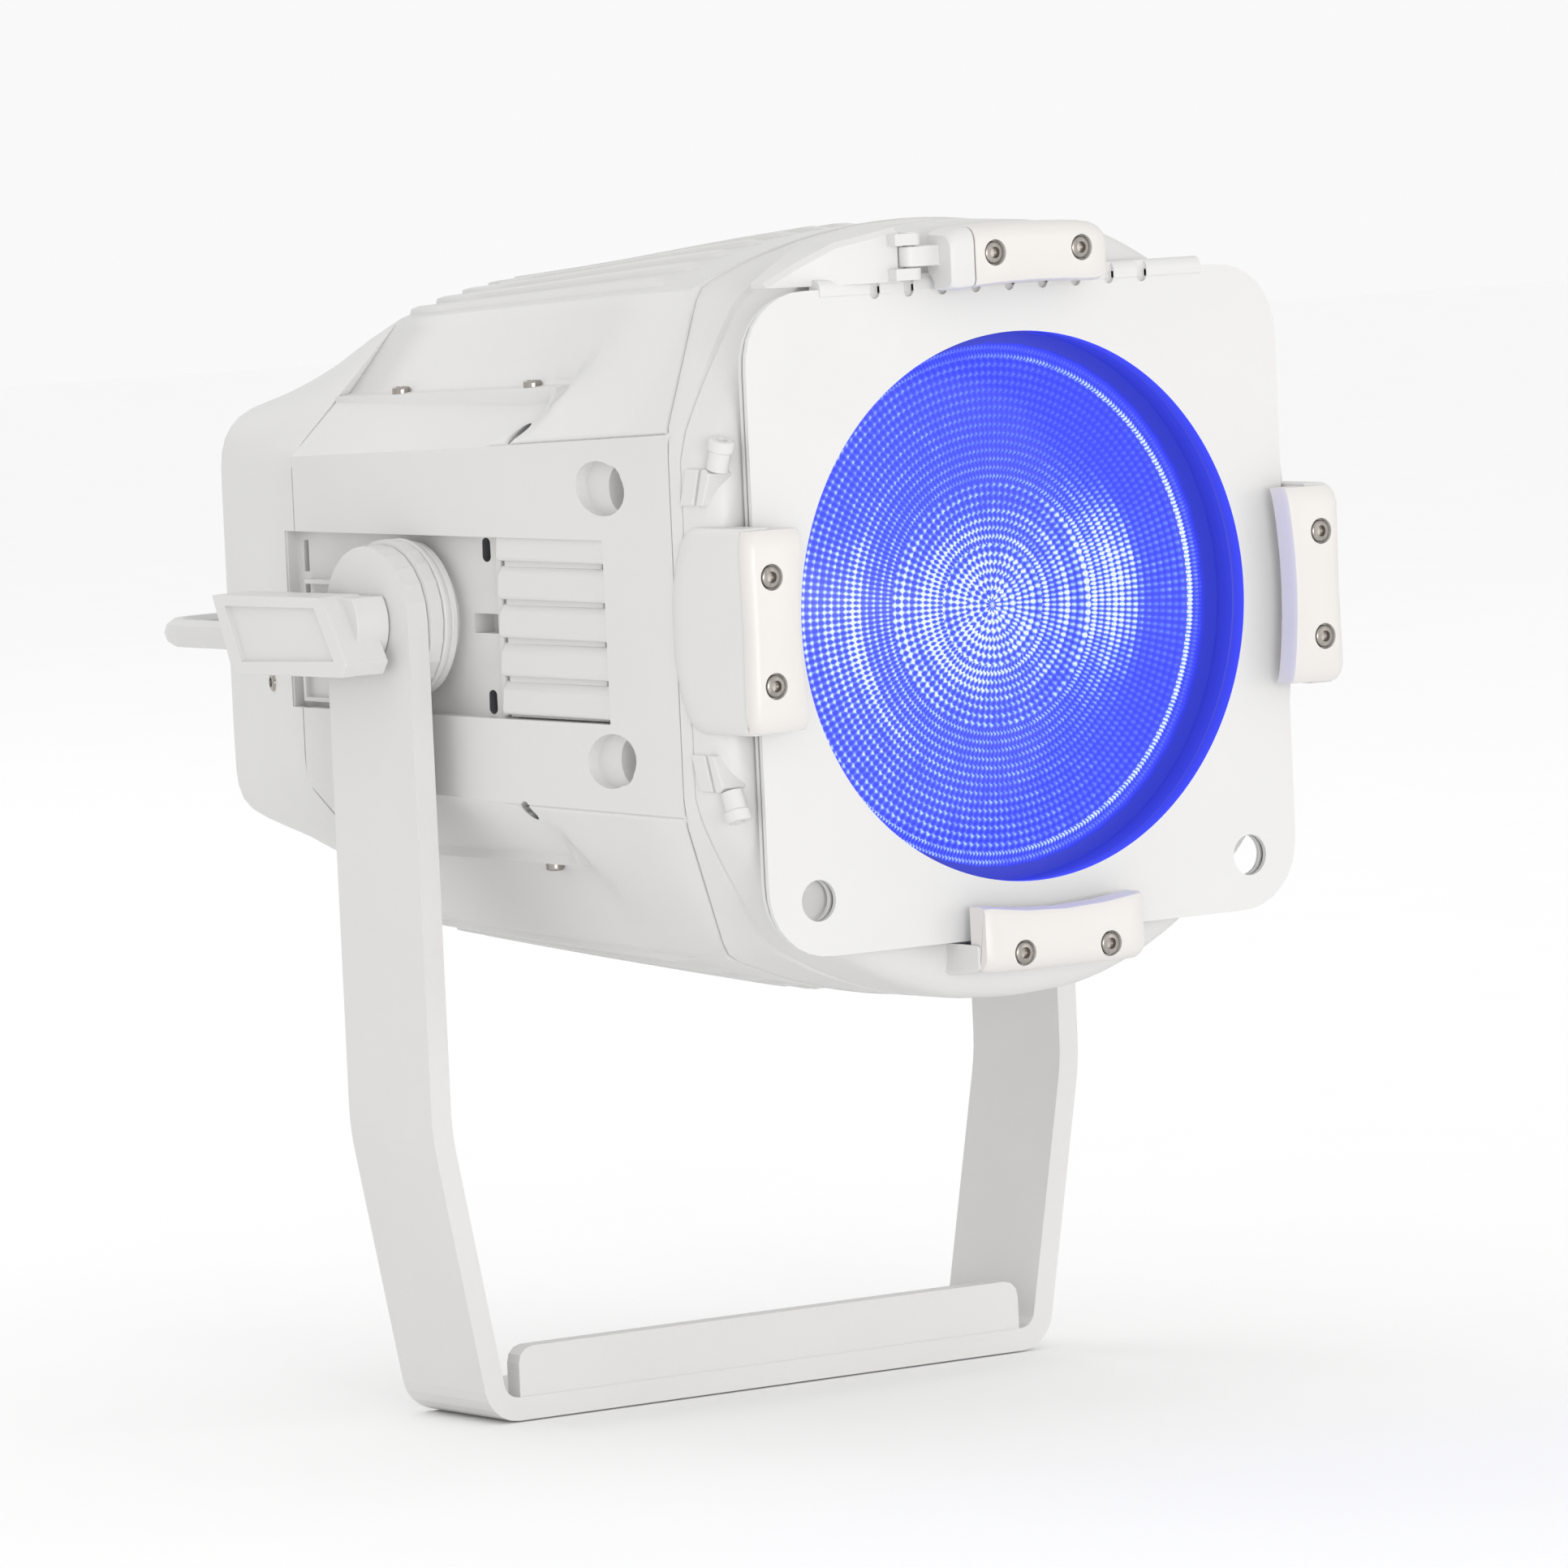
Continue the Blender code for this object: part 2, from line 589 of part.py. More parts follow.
def clips(finish, metal, parent, bezel):
    """Three equal clips, each turned onto its own side, with two screws each."""
    shape = clip_mesh()
    for side, angle in (("right", 0.0), ("bottom", math.pi / 2), ("left", math.pi)):
        turn = Matrix.Rotation(angle, 4, "Y")
        turned = shape.copy()
        turned.transform(Matrix.Translation(AXIS) @ turn @ Matrix.Translation(-AXIS))
        add(side + "_clip", turned, finish, parent)
        for number, z in enumerate((-SCREW_PITCH / 2, SCREW_PITCH / 2), 1):
            place = turn @ Vector((SCREW_IN_CLIP, 0, z))
            name = "{}_clip_screw_{}".format(side, number)
            screw(name, place.x, place.z, CLIP_FACE + 0.6, 30, metal, parent)
            boolean(bezel, rod_mesh(2.3, AXIS + Vector((place.x, -170, place.z)), 21, Y_AXIS, 12))


SCREW_IN_CLIP = 98.9
EAR = 2.4                    # thickness of the latch bracket's two ears
KNUCKLE = (100.9, 106.1)     # the latch's hinge knuckle, above the tilt axis


def latch_bracket(finish, parent):
    low = (LATCH_X - 4.5, LATCH_Y + 5.2, TILT_HEIGHT + 98.4)
    made = add("latch_bracket", box_mesh(low, (LATCH_X + 4.5, -163.3, TILT_HEIGHT + 109)), finish, parent)
    for z in (KNUCKLE[0] - GAP - EAR, KNUCKLE[1] + GAP):
        ear = rod_mesh(4.4, (LATCH_X, LATCH_Y, TILT_HEIGHT + z), EAR, Matrix.Identity(4), 20)
        boolean(made, ear, "UNION")
        low = (LATCH_X - 4.3, LATCH_Y, TILT_HEIGHT + z)
        boolean(made, box_mesh(low, (LATCH_X + 4.3, LATCH_Y + 6, TILT_HEIGHT + z + EAR)), "UNION")
    hole = rod_mesh(2.0, (LATCH_X, LATCH_Y, TILT_HEIGHT + 90), 30, Matrix.Identity(4), 16)
    return boolean(made, hole)


def latch_pin(finish, parent):
    start = (LATCH_X, LATCH_Y, TILT_HEIGHT + 98.0)
    made = add("latch_pin", rod_mesh(1.7, start, 11.4, Matrix.Identity(4), 16), finish, parent)
    head = rod_mesh(2.9, (LATCH_X, LATCH_Y, TILT_HEIGHT + 109.1), 1.2, Matrix.Identity(4), 16)
    return boolean(made, head, "UNION")


def top_latch(finish, metal, parent):
    low = (-31.0, CLIP_FACE, TILT_HEIGHT + 95.4)
    made = add("top_latch", box_mesh(low, (25.5, -168.6, TILT_HEIGHT + 111.6)), finish, parent)
    tongue = box_mesh((-22, -170, TILT_HEIGHT + 98.4), (17, -163.6, TILT_HEIGHT + 108))
    boolean(made, tongue, "UNION")
    arm = (LATCH_X, LATCH_Y - 4.0, TILT_HEIGHT + KNUCKLE[0])
    boolean(made, box_mesh(arm, (-30, LATCH_Y + 2.2, TILT_HEIGHT + KNUCKLE[1])), "UNION")
    start = (LATCH_X, LATCH_Y, TILT_HEIGHT + KNUCKLE[0])
    boolean(made, rod_mesh(4.4, start, KNUCKLE[1] - KNUCKLE[0], Matrix.Identity(4), 20), "UNION")
    boolean(made, rod_mesh(2.0, (LATCH_X, LATCH_Y, TILT_HEIGHT + 90), 30, Matrix.Identity(4), 16))
    for number, x in enumerate((-SCREW_PITCH / 2, SCREW_PITCH / 2), 1):
        screw_hole(made, x, 103.2, CLIP_FACE + 0.6, 14)
        screw("latch_screw_{}".format(number), x, 103.2, CLIP_FACE + 0.6, 13, metal, parent)
    return made


# ---- tilt hardware ----

def pivot_bolt(name, side, finish, parent):
    turn = Matrix.Rotation(side * math.pi / 2, 4, "Y")
    start = Vector((side * 86.0, 0, TILT_HEIGHT))
    length = 42.0 if side < 0 else 36.0
    made = add(name, rod_mesh(PIVOT_BOLT, start, length, turn, 20), finish, parent)
    boolean(made, rod_mesh(9.0, start, 4.6, turn, 6), "UNION")
    if side > 0:
        cap = (side * (YOKE_OUTER + GAP), 0, TILT_HEIGHT)
        boolean(made, rod_mesh(13.0, cap, 4.2, turn, 24, 11.0), "UNION")
    return made


def tilt_lever(finish, parent):
    outline = [(58.0, 8.5), (-1.0, 8.8), (-6.0, 6.0), (-16.0, -11.0), (-13.0, -15.0), (46.0, -15.4), (49.0, -13)]
    near, far = -121.5, -138.0
    made = add("tilt_lever", plate_mesh(outline, near - far, sideways((near + far) / 2)), finish, parent)
    turn = Matrix.Rotation(-math.pi / 2, 4, "Y")
    start = (-YOKE_OUTER - GAP, 0, TILT_HEIGHT)
    boolean(made, rod_mesh(14.2, start, 15.2, turn, 28), "UNION")
    panel = [(50.0, 4.5), (1.0, 4.8), (-9.0, -10.0), (42.0, -11.4)]
    boolean(made, plate_mesh(panel, 3.0, sideways(far)))
    boolean(made, rod_mesh(PIVOT_BOLT + GAP, (-110, 0, TILT_HEIGHT), 18.4, turn, 20))
    return made


# ---- chassis and moving light engine ----

def chassis_outline(w, top, low):
    """A plate with its four corners cut off, to sit inside the covers."""
    side, across = 40.0, w - 30.0
    return [(w, side - low), (w, top - side), (across, top), (-across, top),
            (-w, top - side), (-w, side - low), (-across, -low), (across, -low)]


def chassis_plate(name, y, outline, bore, bore_z, finish, parent):
    made = add(name, plate_mesh(outline, 3.0, upright(y + 1.5)), finish, parent)
    boolean(made, rod_mesh(bore, AXIS + Vector((0, y - 10, bore_z)), 30, Y_AXIS, 40))
    boolean(made, rod_mesh(ROD_RADIUS + GAP, AXIS + Vector((0, y - 10, SCREW_Z)), 30, Y_AXIS, 20))
    return made


def chassis(finish, metal, dark, parent):
    front = chassis_outline(89.0, 88.0, 88.0)
    chassis_plate("front_chassis_plate", FRONT_PLATE_Y, front, 58.0, 0.0, finish, parent)
    rear = chassis_outline(86.0, 78.0, 82.0)
    chassis_plate("rear_chassis_plate", REAR_PLATE_Y, rear, 40.0, 12.0, finish, parent)
    length = REAR_PLATE_Y - FRONT_PLATE_Y - 3 - 2 * GAP
    for side, x in (("left", -ROD_X), ("right", ROD_X)):
        start = AXIS + Vector((x, FRONT_PLATE_Y + 3 + GAP, ROD_Z))
        add("guide_rod_" + side, rod_mesh(ROD_RADIUS, start, length, Y_AXIS, 20), metal, parent)
    low = (-21, REAR_PLATE_Y + 3 + GAP, TILT_HEIGHT + SCREW_Z - 21)
    high = (21, REAR_PLATE_Y + 40, TILT_HEIGHT + SCREW_Z + 21)
    made = add("zoom_motor", box_mesh(low, high), dark, parent)
    boolean(made, rod_mesh(ROD_RADIUS + GAP, AXIS + Vector((0, 50, SCREW_Z)), 20, Y_AXIS, 20))


def lead_screw(finish, parent):
    start = AXIS + Vector((0, FRONT_PLATE_Y, SCREW_Z))
    made = add("lead_screw", rod_mesh(ROD_RADIUS, start, REAR_PLATE_Y - FRONT_PLATE_Y + 12, Y_AXIS, 20), finish, parent)
    collar = AXIS + Vector((0, REAR_PLATE_Y - 8, SCREW_Z))
    return boolean(made, rod_mesh(7.5, collar, 7.0, Y_AXIS, 20), "UNION")


def carriage(finish, parent):
    outline = [(80, -34), (80, 52), (60, 66), (-60, 66), (-80, 52), (-80, -34), (-76, -56), (-30, -76),
               (30, -76), (76, -56)]
    made = add("carriage_plate", plate_mesh(outline, 4.0, upright(CARRIAGE_Y + 2)), finish, parent)
    for x, z in ((-ROD_X, ROD_Z), (ROD_X, ROD_Z), (0, SCREW_Z)):
        boolean(made, rod_mesh(8.5, AXIS + Vector((x, CARRIAGE_Y + 1, z)), 17, Y_AXIS, 24), "UNION")
        boolean(made, rod_mesh(ROD_RADIUS + GAP, AXIS + Vector((x, CARRIAGE_Y - 10, z)), 40, Y_AXIS, 20))
    return made


def heat_sink(finish, parent):
    base, root, tip = CARRIAGE_Y + 4 + GAP, CARRIAGE_Y + 12, -13.0
    half, fins, thick = 56.0, 13, 1.8
    pitch = (2 * half - thick) / (fins - 1)
    loop = [(-half, base), (half, base)]
    for step in range(fins):
        right = half - pitch * step
        loop += [(right, root), (right, tip), (right - thick, tip), (right - thick, root)]
    loop = [p for i, p in enumerate(loop) if i not in (2, len(loop) - 1)]
    place = Matrix.Translation((0, 0, TILT_HEIGHT + 8))
    return add("heat_sink", plate_mesh(loop, 104.0, place), finish, parent)


def light_source(board, glass, metal, parent):
    low = (-34, CARRIAGE_Y - GAP - 2, TILT_HEIGHT - 34)
    bevel(add("led_board", box_mesh(low, (34, CARRIAGE_Y - GAP, TILT_HEIGHT + 34)), board, parent), 1)
    start = AXIS + Vector((0, CARRIAGE_Y - 2 * GAP - 5, 0))
    add("led_emitter", rod_mesh(18.0, start, 3.0, Y_AXIS, 28), glass, parent)
    back = CARRIAGE_Y - 2 * GAP - 2
    front = back - 30
    profile = [(19.0, back), (24.0, back), (31.0, front), (28.5, front)]
    return smooth(add("mixing_optic", ring_mesh(profile, AXIS, Y_AXIS, 32), metal, parent))


def fan(dark, blades, parent, rotor_parent):
    half = FAN_SIZE / 2
    start, depth = -12.4, 25.0
    low = (-half, start, TILT_HEIGHT + 8 - half)
    frame = add("fan_frame", box_mesh(low, (half, start + depth, TILT_HEIGHT + 8 + half)), dark, parent)
    centre = AXIS + Vector((0, 0, 8))
    boolean(frame, rod_mesh(43.0, centre + Vector((0, start - 5, 0)), 40, Y_AXIS, 40))
    boolean(frame, rod_mesh(18.0, centre + Vector((0, start + depth - 3.5, 0)), 3.0, Y_AXIS, 24), "UNION")
    for angle in (45, 135):
        strut = box_mesh((-45, start + depth - 3.2, -2.5), (45, start + depth - 0.8, 2.5))
        strut.transform(Matrix.Translation(centre) @ Matrix.Rotation(math.radians(angle), 4, "Y"))
        boolean(frame, strut, "UNION")
    rotor = add("fan_rotor", rod_mesh(17.5, centre + Vector((0, start + 1, 0)), 19.5, Y_AXIS, 24), blades, rotor_parent)
    for step in range(7):
        blade = box_mesh((14, -1.0, -11), (41, 1.0, 11))
        lean = Matrix.Rotation(math.radians(52), 4, "X")
        place = Matrix.Translation(centre + Vector((0, start + 11, 0)))
        blade.transform(place @ Matrix.Rotation(math.tau * step / 7, 4, "Y") @ lean)
        boolean(rotor, blade, "UNION")
    return rotor


# ---- rear ----

PANEL_LOW, PANEL_HIGH, PANEL_HALF = -52.0, 48.0, 60.0


def rear_panel(finish, parent):
    height = (PANEL_HIGH - PANEL_LOW) / 2
    middle = (PANEL_HIGH + PANEL_LOW) / 2
    outline = [(u, v + middle) for u, v in rounded_rectangle(PANEL_HALF, height, 14.0, 3)]
    y = REAR_FACE - WALL - GAP - 1.5
    made = add("rear_panel", plate_mesh(outline, 3.0, upright(y)), finish, parent)
    for x, z, half_u, half_v in PANEL_OPENINGS:
        low = (x - half_u - GAP, y - 10, TILT_HEIGHT + z - half_v - GAP)
        boolean(made, box_mesh(low, (x + half_u + GAP, y + 10, TILT_HEIGHT + z + half_v + GAP)))
    for x in BUTTONS_X:
        boolean(made, rod_mesh(3.6, AXIS + Vector((x, y - 10, BUTTON_Z)), 20, Y_AXIS, 20))
    return made


# display, power inlet, power outlet, data inlet, data outlet, fuse: x, z and half sizes
PANEL_OPENINGS = ((0, 28, 24, 9), (-34, -24, 13.5, 13.5), (-3, -24, 13.5, 13.5), (26, -10, 9.5, 9.5),
                  (26, -34, 9.5, 9.5), (45, -12, 6, 6))
BUTTONS_X = (-21, -7, 7, 21)
BUTTON_Z = 9.0


def rear_fittings(dark, green, glass, parent):
    names = ("display", "power_inlet", "power_outlet", "data_inlet", "data_outlet", "fuse_holder")
    for name, (x, z, half_u, half_v) in zip(names, PANEL_OPENINGS):
        depth = 8.0 if name == "display" else 22.0
        proud = 0.0 if name == "display" else 4.0
        low = (x - half_u, REAR_FACE - 3.6 - depth, TILT_HEIGHT + z - half_v)
        high = (x + half_u, REAR_FACE - WALL + proud, TILT_HEIGHT + z + half_v)
        made = add(name, box_mesh(low, high), glass if name == "display" else dark, parent)
        if name not in ("display", "fuse_holder"):
            start = AXIS + Vector((x, REAR_FACE - 6, z))
            boolean(made, rod_mesh(half_u - 2.5, start, 12, Y_AXIS, 24))
    low = (-50, 106, TILT_HEIGHT - 2)
    add("control_board", box_mesh(low, (50, 107.6, TILT_HEIGHT + 44)), green, parent)


def menu_buttons(finish, pivots):
    for number, (x, parent) in enumerate(zip(BUTTONS_X, pivots), 1):
        start = AXIS + Vector((x, REAR_FACE - 9, BUTTON_Z))
        made = add("menu_button_{}".format(number), rod_mesh(3.2, start, 9.0, Y_AXIS, 16), finish, parent)
        boolean(made, rod_mesh(4.6, start, 1.2, Y_AXIS, 16), "UNION")


def power_supply(finish, parent):
    low = (26, 62, TILT_HEIGHT - 44)
    return add("power_supply", box_mesh(low, (84, 100, TILT_HEIGHT + 40)), finish, parent)


def bar_mesh(points, radius, closed=False):
    """A round bar along points, made from a bevelled curve."""
    data = bpy.data.curves.new("bar", "CURVE")
    data.dimensions = "3D"
    data.bevel_depth = radius
    data.bevel_resolution = 3
    data.use_fill_caps = True
    spline = data.splines.new("POLY")
    spline.points.add(len(points) - 1)
    spline.use_cyclic_u = closed
    for target, point in zip(spline.points, points):
        target.co = (*point, 1.0)
    holder = bpy.data.objects.new("bar", data)
    bpy.context.scene.collection.objects.link(holder)
    bpy.context.view_layer.update()
    mesh = bpy.data.meshes.new_from_object(holder)
    bpy.data.objects.remove(holder)
    bm = bmesh.new()
    bm.from_mesh(mesh)
    bmesh.ops.remove_doubles(bm, verts=bm.verts, dist=1e-4)
    return mesh_from(bm, "bar")


def rear_handle(finish, parent):
    x, tip, bend, z = 69.5, 201.5, 20.0, TILT_HEIGHT - 11.5
    start = REAR_FACE + GAP
    corner = arc((x - bend, tip - bend), bend, 0, 90, 6)
    half = [(x, start)] + corner
    path = half + [(-u, v) for u, v in reversed(half)]
    made = add("rear_handle", bar_mesh([(u, v, z) for u, v in path], 4.5), finish, parent)
    for side in (-1, 1):
        boolean(made, rod_mesh(6.8, (side * x, start, z), 4.0, Y_AXIS, 20), "UNION")
    return smooth(made)


def safety_eye(finish, parent):
    start, z = REAR_FACE + GAP, TILT_HEIGHT + 59.0
    half = [(9.0, start)] + arc((0, start + 8), 9.0, 0, 90, 5)
    path = half + [(-u, v) for u, v in reversed(half[:-1])]
    return smooth(add("safety_eye", bar_mesh([(u, v, z) for u, v in path], 2.2), finish, parent))


# ---- assembly ----

def main():
    clear_scene()
    white = material("white_coated_metal", (0.76, 0.76, 0.75), 0.45)
    plastic = material("white_moulding", (0.74, 0.74, 0.73), 0.5)
    warm = material("clip_moulding", (0.78, 0.75, 0.70), 0.5)
    steel = material("screw_steel", (0.30, 0.27, 0.25), 0.35, 1.0)
    bright = material("bright_steel", (0.6, 0.6, 0.6), 0.25, 1.0)
    alloy = material("aluminium", (0.62, 0.63, 0.65), 0.4, 1.0)
    dark = material("black_moulding", (0.03, 0.03, 0.03), 0.5)
    board = material("circuit_board", (0.02, 0.16, 0.07), 0.45)
    rubber = material("friction_rubber", (0.07, 0.07, 0.07), 0.8)
    lens = material("lens_glass", (0.16, 0.2, 0.85), 0.12)
    emitter = material("emitter_glass", (0.85, 0.8, 0.45), 0.2)
    barrel = material("barrel_black", (0.05, 0.07, 0.25), 0.5)

    yoke(white)
    friction_washer("friction_washer_left", -1, rubber)
    friction_washer("friction_washer_right", 1, rubber)

    head = pivot("head_pivot", AXIS)
    bezel = front_bezel(plastic, head)
    cover("top_cover", plastic, head, 1)
    cover("bottom_cover", plastic, head, -1)
    side_panel("left_side_panel", -1, plastic, head)
    side_panel("right_side_panel", 1, plastic, head)
    rear_cover(plastic, head)
    lens_barrel(barrel, head)
    fresnel_lens(lens, head)
    lens_ring(barrel, head)
    colour_frame(white, head)
    clips(warm, steel, head, bezel)
    latch_bracket(warm, head)
    latch_pin(bright, head)
    pivot_bolt("pivot_bolt_left", -1, bright, head)
    pivot_bolt("pivot_bolt_right", 1, bright, head)
    chassis(alloy, bright, dark, head)
    rear_panel(white, head)
    rear_fittings(dark, board, lens, head)
    power_supply(alloy, head)
    rear_handle(white, head)
    safety_eye(bright, head)

    top_latch(warm, steel, pivot("latch_pivot", (LATCH_X, LATCH_Y, TILT_HEIGHT + 103), head))
    tilt_lever(plastic, pivot("lever_pivot", (-YOKE_OUTER, 0, TILT_HEIGHT), head))
    lead_screw(bright, pivot("screw_pivot", (0, 0, TILT_HEIGHT + SCREW_Z), head))

    engine = pivot("engine_pivot", (0, CARRIAGE_Y, TILT_HEIGHT), head)
    carriage(alloy, engine)
    heat_sink(alloy, engine)
    light_source(board, emitter, alloy, engine)
    fan(dark, dark, engine, pivot("fan_pivot", (0, 0, TILT_HEIGHT + 8), engine))

    button_pivots = [pivot("button_pivot_{}".format(i), (x, REAR_FACE - 1, TILT_HEIGHT + BUTTON_Z), head)
                     for i, x in enumerate(BUTTONS_X, 1)]
    menu_buttons(dark, button_pivots)


main()
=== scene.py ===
"""Studio picture of the LED Fresnel wash light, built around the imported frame.

Sizes are in millimetres and scaled by MM.  The head's pieces are drawn about the tilt axis.
"""

import math

import bmesh
import bpy
from mathutils import Matrix, Vector


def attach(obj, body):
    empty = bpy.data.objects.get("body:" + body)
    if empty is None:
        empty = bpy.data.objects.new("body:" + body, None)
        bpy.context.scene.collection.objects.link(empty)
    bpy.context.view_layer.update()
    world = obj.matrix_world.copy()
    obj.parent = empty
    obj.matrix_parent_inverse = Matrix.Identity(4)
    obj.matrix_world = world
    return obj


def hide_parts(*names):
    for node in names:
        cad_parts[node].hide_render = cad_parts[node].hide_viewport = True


MM = 0.001
TILT_HEIGHT = 240.0
HAND = {-1: "left", 1: "right"}

RING = 2.5                   # pitch of the lens's rings
RINGS = 31
FLUTES = 192.0               # radial flutes round the lens's outer half
# Bright arcs in the lens: side, radius, width, strength
BANDS = [(-1, 50, 2.6, 0.95), (-1, 58, 2.0, 0.3), (-1, 33, 2.2, 0.55), (-1, 23.5, 4.5, 0.8), (-1, 11, 5.0, 0.5),
         (1, 14, 1.6, 0.35), (1, 20, 1.6, 0.35), (1, 27, 2.2, 0.5), (1, 36, 3.2, 0.75), (1, 45, 4.5, 0.9),
         (1, 52, 2.4, 0.5)]

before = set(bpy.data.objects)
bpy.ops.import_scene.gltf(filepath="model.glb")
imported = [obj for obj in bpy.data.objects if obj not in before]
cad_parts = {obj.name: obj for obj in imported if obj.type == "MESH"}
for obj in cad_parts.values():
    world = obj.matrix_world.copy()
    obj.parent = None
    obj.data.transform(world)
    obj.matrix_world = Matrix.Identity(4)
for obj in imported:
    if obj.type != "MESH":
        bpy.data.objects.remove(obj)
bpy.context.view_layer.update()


# ---- materials ----

def nodes_of(name):
    made = bpy.data.materials.new(name)
    made.use_nodes = True
    tree = made.node_tree
    return made, tree, tree.nodes["Principled BSDF"]


def node(tree, kind, links=(), **values):
    """A node of that kind; links are (input, socket) pairs and values set its properties."""
    made = tree.nodes.new("ShaderNode" + kind)
    for key, value in values.items():
        setattr(made, key, value)
    for key, source in links:
        if isinstance(source, (int, float, tuple)):
            made.inputs[key].default_value = source
        else:
            tree.links.new(source, made.inputs[key])
    return made


def math_node(tree, operation, *inputs):
    return node(tree, "Math", list(enumerate(inputs)), operation=operation).outputs[0]


def ramp(tree, factor, *stops):
    made = node(tree, "ValToRGB", [(0, factor)])
    band = made.color_ramp
    while len(band.elements) < len(stops):
        band.elements.new(0.5)
    for element, (place, colour) in zip(band.elements, stops):
        element.position = place
        element.color = (*colour, 1.0)
    return made.outputs[0]


def uneven_gloss(tree, shader, pattern, low, high):
    """Roughness that follows a pattern between two values."""
    spread = node(tree, "MapRange", [("Value", pattern), ("To Min", low), ("To Max", high)])
    tree.links.new(spread.outputs[0], shader.inputs["Roughness"])


def coated(name, colour, roughness=0.42, grain=700.0, bump=0.06, tint=0.02):
    """Paint or moulding: a fine skin, slightly uneven in colour and gloss."""
    made, tree, shader = nodes_of(name)
    place = node(tree, "TexCoord").outputs["Object"]
    fine = node(tree, "TexNoise", [("Vector", place), ("Scale", grain), ("Detail", 2.0)]).outputs[0]
    broad = node(tree, "TexNoise", [("Vector", place), ("Scale", 14.0), ("Detail", 3.0)]).outputs[0]
    low = tuple(c * (1 - tint) for c in colour)
    high = tuple(min(1.0, c * (1 + tint)) for c in colour)
    tree.links.new(ramp(tree, broad, (0.3, low), (0.7, high)), shader.inputs["Base Color"])
    uneven_gloss(tree, shader, fine, roughness - 0.05, roughness + 0.05)
    dents = node(tree, "Bump", [("Height", fine), ("Strength", bump), ("Distance", 0.0004)])
    tree.links.new(dents.outputs[0], shader.inputs["Normal"])
    return made


def brushed(name, colour, roughness, axis):
    """Bare metal with fine lines along one axis."""
    made, tree, shader = nodes_of(name)
    place = node(tree, "TexCoord").outputs["Object"]
    scale = [300.0, 300.0, 300.0]
    scale[axis] = 12.0
    stretched = node(tree, "Mapping", [("Vector", place), ("Scale", tuple(scale))]).outputs[0]
    lines = node(tree, "TexNoise", [("Vector", stretched), ("Scale", 4.0), ("Detail", 3.0)]).outputs[0]
    dark = tuple(c * 0.8 for c in colour)
    tree.links.new(ramp(tree, lines, (0.35, dark), (0.65, colour)), shader.inputs["Base Color"])
    uneven_gloss(tree, shader, lines, roughness - 0.08, roughness + 0.1)
    shader.inputs["Metallic"].default_value = 1.0
    return made


